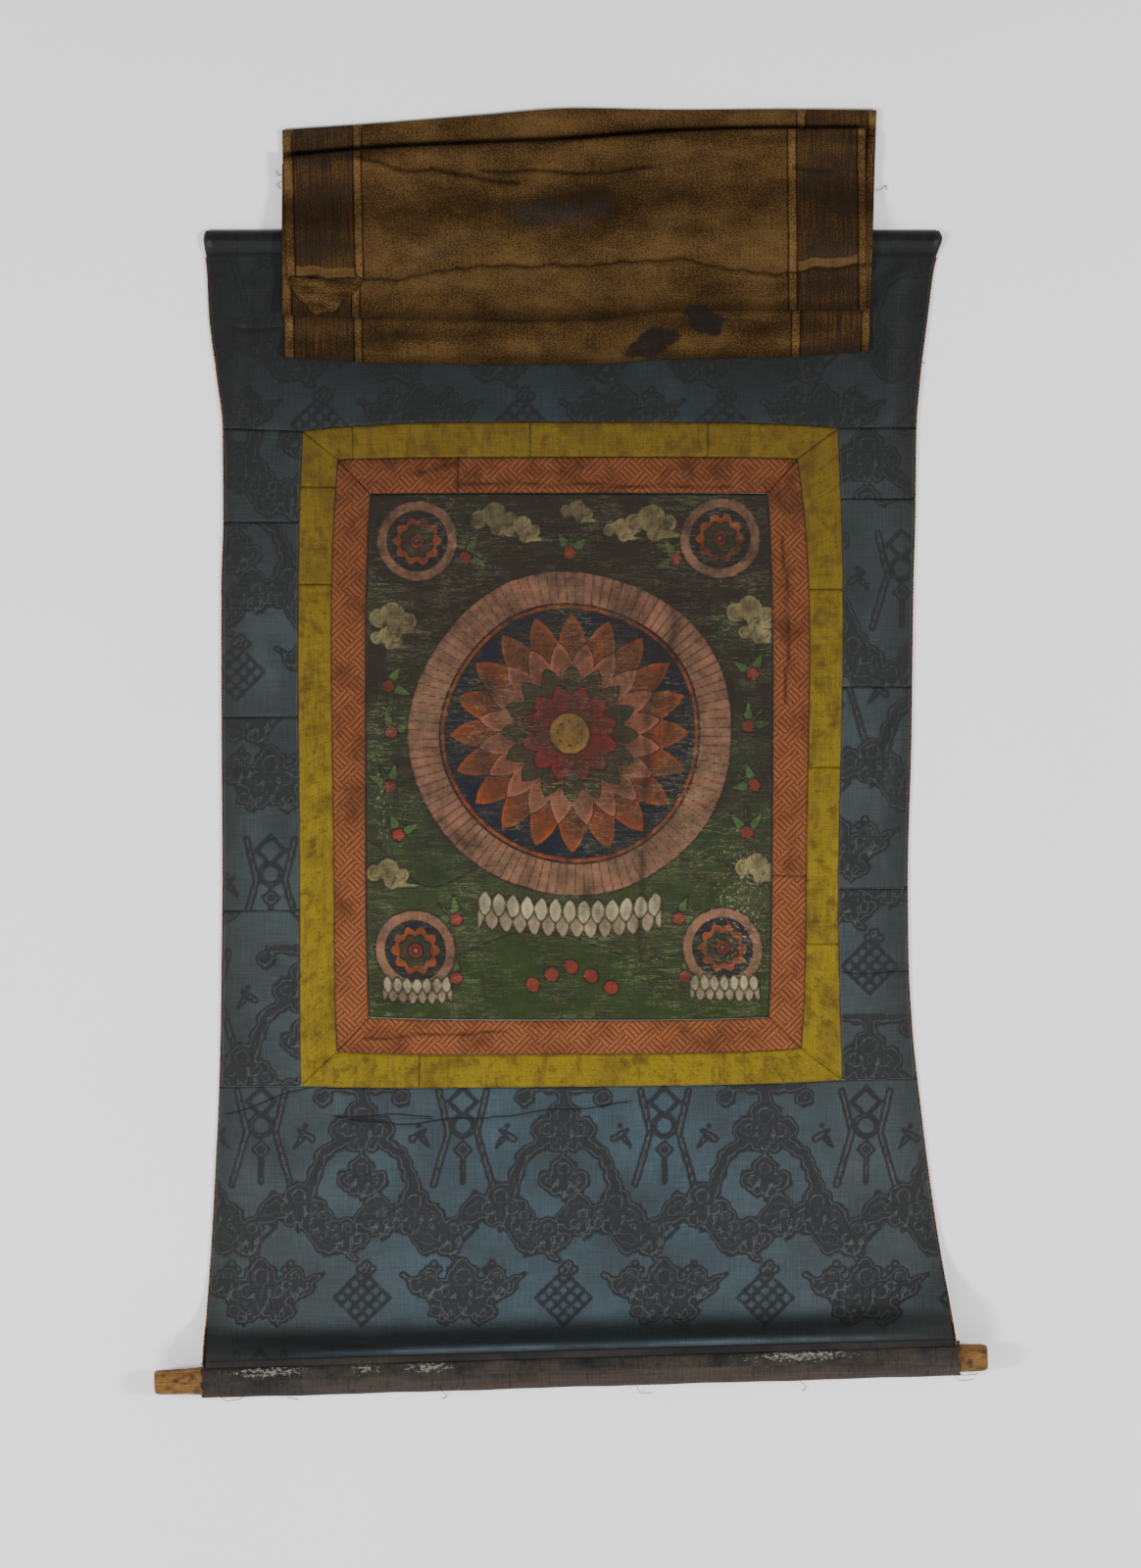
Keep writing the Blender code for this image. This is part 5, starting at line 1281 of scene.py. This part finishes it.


# Bands of dirt across the veil, the two just below its folds painted shade: height up the page, half width,
# strength
DirtAndShadeRow = namedtuple("DirtAndShadeRow", "y width strength")
VEIL_DIRT_AND_SHADE = (DirtAndShadeRow(504.0, 19.0, 1.0), DirtAndShadeRow(560.0, 6.0, 0.7), DirtAndShadeRow(472.0, 10.0, 0.3),
             DirtAndShadeRow(425.0, 8.0, 0.35), DirtAndShadeRow(388.0, 9.0, 0.7))
# Dark blots and blue-grey stains: middle, half sizes, lean and strength
BlotRow = namedtuple("BlotRow", "x y wide high lean strength power")
VEIL_BLOTS = (BlotRow(74.3, 375.7, 27.0, 14.0, 0.35, 1.0, 1.2),
              BlotRow(122.5, 397.0, 17.0, 12.0, -0.3, 1.0, 3.0))
VEIL_HAZE = (BlotRow(-18.0, 494.0, 42.0, 12.0, 0.0, 1.0, 2.0),
             BlotRow(24.0, 502.0, 14.0, 9.0, 0.0, 0.8, 2.0),
             BlotRow(-120.0, 462.0, 16.0, 8.0, 0.0, 0.5, 2.0),
             BlotRow(222.0, 516.0, 20.0, 12.0, 0.0, 0.7, 2.0),
             BlotRow(232.0, 478.0, 26.0, 14.0, 0.0, 0.7, 2.0))


def veil_dirt_and_shade(x, y):
    """How dirty the veil is, with painted shade just below two of its folds: bells across
    bands that sway along it.
    """
    sway = 6.0 * np.sin(x / 83.0 + 0.7) + 3.0 * np.sin(x / 31.0)
    dirt = sum(row.strength * np.exp(-((y - row.y - sway - 0.02 * x) / row.width) ** 2)
               * (0.7 + 0.3 * np.sin(x / 47.0 + row.y)) for row in VEIL_DIRT_AND_SHADE)
    return np.clip(dirt, 0.0, 1.0)


def veil_stain(x, y, rows):
    """The strongest of some stains: 1 inside a leaning rounded shape, falling off outside
    it; its power makes it a lozenge at 1, an oval at 2 and squarer above that."""
    stains = []
    for row in rows:
        off_x = np.abs((x - row.x) / row.wide)
        off_y = np.abs((y - row.y - row.lean * (x - row.x)) / row.high)
        away = (off_x ** row.power + off_y ** row.power) ** (1 / row.power)
        stains.append(row.strength * np.clip(1.5 - away, 0.0, 1.0))
    return np.maximum.reduce(stains)


# How far up from each fold its painted shade line reaches
SHADOW_REACH = ((2, 7.0), (4, 10.0), (5, 3.4), (6, 2.2))


def fold_shadow(x, y, across, layer):
    """Painted shade along the veil's creases and its front folds: dark lines, softer
    above a fold than below it."""
    line = crease_field(x, y, CREASE_SHADE_LINES)[1] if layer == FRONT_LAYER else 0.0 * x
    for number, reach in SHADOW_REACH:
        off = y - fold_line(VEIL_FOLDS[number], across)
        line = np.maximum(line, 0.8 * np.exp(-(off / np.where(off > 0, reach, 2.2)) ** 2))
    return line


def hem_band(y, across):
    """1 on the ochre hem of the borders: the last 11 mm above the free edge."""
    above = y - fold_line(VEIL_FOLDS[-1], across)
    return np.clip(1.5 - np.abs(above - 6.0) / 5.0, 0.0, 1.0)


def veil_path(across):
    """The folded path at shares of the veil's width: straight runs between fold lines
    joined by half circles, one row of points for each station along it; with how dark
    each point's painted shade along the creases and folds is, and whether it is on the hem."""
    rows, lines = [], []
    for layer in range(FRONT_LAYER + 1):
        start, end = VEIL_FOLDS[layer], VEIL_FOLDS[layer + 1]
        heading = 1.0 if layer % 2 == 0 else -1.0
        room = LAYER_PITCH / 2
        first = fold_line(start, across) + heading * (room + start.puff / 2) * (layer > 0)
        last = fold_line(end, across) - heading * (room + end.puff / 2) * (layer < FRONT_LAYER)
        steps = max(6, round(abs(end.d - start.d) / VEIL_ROW_STEPS[layer]))
        for share in np.linspace(0, 1, steps + 1):
            y = first + (last - first) * share
            left = start.left + (end.left - start.left) * share
            x = left + (start.right + (end.right - start.right) * share - left) * across
            rows.append(np.stack([x, y, veil_height(layer, x, y, across)], axis=-1))
            lines.append((fold_shadow(x, y, across, layer), hem_band(y, across) * (layer == FRONT_LAYER)))
        if layer < FRONT_LAYER:
            x = end.left + (end.right - end.left) * across
            low, high = veil_height(layer, x, last, across), veil_height(layer + 1, x, last, across)
            for angle in ARC_ANGLES:
                y = last + heading * (room + end.puff / 2) * sin(angle * pi / 180)
                z = low + (high - low) * (1 - cos(angle * pi / 180)) / 2
                rows.append(np.stack([x, y, z], axis=-1))
                lines.append((fold_shadow(x, y, across, layer), 0.0 * x))
    return np.array(rows), np.array(lines).swapaxes(0, 1)


def fold_veil(finishes, sizes):
    """The veil's centre, dark borders and ochre strips, folded together."""
    width = VEIL_FOLDS[0].right - VEIL_FOLDS[0].left
    for strip in VEIL_STRIPS:
        margin = SEAM_GAP / width
        share = np.linspace(strip.start + margin * (strip.start > 0), strip.end - margin * (strip.end < 1),
                            max(3, round((strip.end - strip.start) * width / VEIL_COLUMN_STEP)) + 1)
        points, (lines, band) = veil_path(share)
        _, along = step_lengths(points)
        uv = np.stack([np.broadcast_to(share * width, along.shape), along], axis=-1)
        wide = (strip.end - strip.start) * width
        u = np.linspace(0, 1, len(share))[None, :] + 0 * along
        distance = edge_distance(wide, along[-1].mean(), u, along / along[-1])
        x, y = points[..., 0], points[..., 1]
        marks = {"edge_mm": distance, "dirt": veil_dirt_and_shade(x, y), "crease": lines, "band": band,
                 "blot": veil_stain(x, y, VEIL_BLOTS), "haze": veil_stain(x, y, VEIL_HAZE)}
        mesh = surface(strip.name + "_silk", points, uv, marks)
        piece = place_piece(strip.name + "_silk", mesh, finishes[strip.slot], strip.name,
                            sizes.veil_thick, 0.0)


def lay_torn_flap(material, sizes):
    """A torn, crumpled tongue of silk on the left border: a rounded outline over the layer
    below, lifted by three crossing sines."""
    u, v = unit_grid(60, 30)
    x = -258.0 + 66.0 * u + 1.5 * np.sin(9.0 * v)
    hang = 6.0 + 27.0 * np.sin(pi * u ** 0.85) + 1.6 * np.sin(23.0 * u)
    y = 437.0 - 1.5 * np.sin(4.0 * u) - hang * v
    start, end = VEIL_FOLDS[0], VEIL_FOLDS[1]
    across = (x - start.left) / (end.right - start.left)
    crumple = 1.1 + 0.7 * np.sin(x / 6.0 + y / 2.2 + 1.5 * np.sin(x / 14.0)) + 0.6 * np.sin(y / 3.1 - x / 8.0)
    height = veil_height(4, x, y, across) + 0.7 + np.maximum(crumple, 0.0)
    points = np.stack([x, y, height], axis=-1)
    # The crease mark is painted shade in the low parts of the crumple
    marks = {"edge_mm": edge_distance(66.0, 28.0, u, v), "dirt": 0.65 + 0 * u,
             "crease": np.clip(0.55 - 0.8 * crumple, 0.0, 1.0)}
    mesh = surface("veil_torn_flap", points, np.stack([x, y], axis=-1), marks)
    piece = place_piece("veil_torn_flap", mesh, material, None, sizes.veil_thick, 0.0)


def lay_threads(material, sizes):
    """Frayed threads at the sleeve's lower edge, the roller's end and the veil."""
    for number, knots in enumerate(LOOSE_THREADS, 1):
        knots = np.array(knots)
        at = np.arange(len(knots))
        fine = np.linspace(0, at[-1], 28)
        path = np.stack([smooth_through(at, knots[:, k], fine) for k in range(3)], axis=1)
        name = f"loose_thread_{number}"
        place_piece(name, tube(name, path, sizes.thread_radius / MM, 5), material)


def place_stage(colours):
    """The floor, the camera straight above and soft light from both sides."""
    bpy.ops.mesh.primitive_plane_add(size=12.0, location=(0.0, 0.0, -0.0004))
    floor = bpy.context.object
    floor.name = "floor"
    floor.data.materials.append(floor_finish(colours))
    camera_data = bpy.data.cameras.new("camera")
    camera_data.sensor_width = SENSOR
    camera_data.lens = SENSOR * CAMERA_DISTANCE / VIEW_HEIGHT
    camera = bpy.data.objects.new("camera", camera_data)
    camera.location = (*VIEW_CENTRE, CAMERA_DISTANCE)
    bpy.context.scene.collection.objects.link(camera)
    bpy.context.scene.camera = camera
    for name, x, y, z, size, power in (("light_left", -2.3, -0.7, 2.0, 0.6, 96.0),
                                       ("light_right", 2.4, -0.4, 2.2, 0.6, 98.0),
                                       ("light_foot", 0.0, -2.7, 2.2, 1.5, 28.0)):
        data = bpy.data.lights.new(name, "AREA")
        data.size = size
        data.energy = power
        lamp = bpy.data.objects.new(name, data)
        lamp.location = (x, y, z)
        aim = -np.array([x, y, z])
        lamp.rotation_euler = (atan2(hypot(aim[0], aim[1]), -aim[2]), 0.0, atan2(aim[1], aim[0]) - pi / 2)
        bpy.context.scene.collection.objects.link(lamp)
    world = bpy.data.worlds.new("studio")
    world.use_nodes = True
    background = world.node_tree.nodes["Background"]
    background.inputs["Color"].default_value = (1.0, 1.0, 1.0, 1.0)
    background.inputs["Strength"].default_value = 0.42
    bpy.context.scene.world = world


class SCROLL_OT_stage(Operator):
    """Places the floor, the camera and the lights"""

    bl_idname = "scroll.stage"
    bl_label = "Stage"

    def execute(self, context):
        place_stage(context.scene.scroll_colours)
        return {"FINISHED"}


class SCROLL_OT_painting(Operator):
    """Lays the painted cotton"""

    bl_idname = "scroll.painting"
    bl_label = "Painting"

    def execute(self, context):
        scene = context.scene
        lay_painting(painting_finish(scene.scroll_colours), scene.scroll_sizes)
        return {"FINISHED"}


class SCROLL_OT_borders(Operator):
    """Lays the orange and the yellow border strips"""

    bl_idname = "scroll.borders"
    bl_label = "Borders"

    def execute(self, context):
        scene = context.scene
        colours, sizes = scene.scroll_colours, scene.scroll_sizes
        lay_border("orange", YELLOW_INNER, PAINTING_EDGE, ORANGE_JOINS,
                   orange_finish(colours), sizes)
        lay_border("yellow", YELLOW_OUTER, YELLOW_INNER, YELLOW_JOINS,
                   yellow_finish(colours), sizes)
        return {"FINISHED"}


class SCROLL_OT_mounting(Operator):
    """Lays the damask panels and side pieces"""

    bl_idname = "scroll.mounting"
    bl_label = "Mounting"

    def execute(self, context):
        scene = context.scene
        material, sizes = damask_finish(scene.scroll_colours), scene.scroll_sizes
        lay_side_pieces(material, sizes)
        lay_top_panel(material, sizes)
        lay_bottom_panel(material, sizes)
        return {"FINISHED"}


class SCROLL_OT_thread(Operator):
    """Winds the overcast edges and lays the loose threads"""

    bl_idname = "scroll.thread"
    bl_label = "Thread"

    def execute(self, context):
        scene = context.scene
        material = thread_finish(scene.scroll_colours)
        wind_edge_cords(material, scene.scroll_sizes)
        lay_threads(material, scene.scroll_sizes)
        return {"FINISHED"}


class SCROLL_OT_roller(Operator):
    """Cuts the wooden roller and fits its sleeve"""

    bl_idname = "scroll.roller"
    bl_label = "Roller"

    def execute(self, context):
        scene = context.scene
        fit_sleeve(sleeve_finish(scene.scroll_colours))
        cut_roller(wood_finish(scene.scroll_colours))
        return {"FINISHED"}


class SCROLL_OT_veil(Operator):
    """Folds the silk veil over the head"""

    bl_idname = "scroll.veil"
    bl_label = "Veil"

    def execute(self, context):
        scene = context.scene
        colours = scene.scroll_colours
        finishes = {
            "veil_silk": veil_finish("Thin mottled silk", colours.veil, colours.veil_dark, stained=True),
            "veil_border_silk": veil_finish("Ribbed dark silk", colours.veil_border, "#120B04", ribbed=True),
            "veil_ochre_silk": veil_finish("Plain ochre silk", colours.veil_ochre, colours.veil_dark),
        }
        fold_veil(finishes, scene.scroll_sizes)
        lay_torn_flap(finishes["veil_ochre_silk"], scene.scroll_sizes)
        return {"FINISHED"}


OPERATORS = (SCROLL_OT_stage, SCROLL_OT_painting, SCROLL_OT_borders, SCROLL_OT_mounting, SCROLL_OT_roller,
             SCROLL_OT_thread, SCROLL_OT_veil)


class SCROLL_PT_panel(Panel):
    """Lists the steps, the sizes and the colours"""

    bl_idname = "SCROLL_PT_panel"
    bl_label = "Scroll painting"
    bl_space_type = "VIEW_3D"
    bl_region_type = "UI"
    bl_category = "Scroll"

    def draw(self, context):
        for operator in OPERATORS:
            self.layout.operator(operator.bl_idname)
        for group in (context.scene.scroll_sizes, context.scene.scroll_colours):
            for key in group.__annotations__:
                self.layout.prop(group, key)


CLASSES = (ScrollSizes, ScrollColours, *OPERATORS, SCROLL_PT_panel)


def register():
    for item in CLASSES:
        bpy.utils.register_class(item)
    bpy.types.Scene.scroll_sizes = PointerProperty(type=ScrollSizes)
    bpy.types.Scene.scroll_colours = PointerProperty(type=ScrollColours)


def unregister():
    del bpy.types.Scene.scroll_colours
    del bpy.types.Scene.scroll_sizes
    for item in reversed(CLASSES):
        bpy.utils.unregister_class(item)


def main():
    """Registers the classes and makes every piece."""
    register()
    for step in (bpy.ops.scroll.stage, bpy.ops.scroll.painting, bpy.ops.scroll.borders,
                 bpy.ops.scroll.mounting, bpy.ops.scroll.roller, bpy.ops.scroll.thread, bpy.ops.scroll.veil):
        step()


if __name__ == "__main__":
    main()
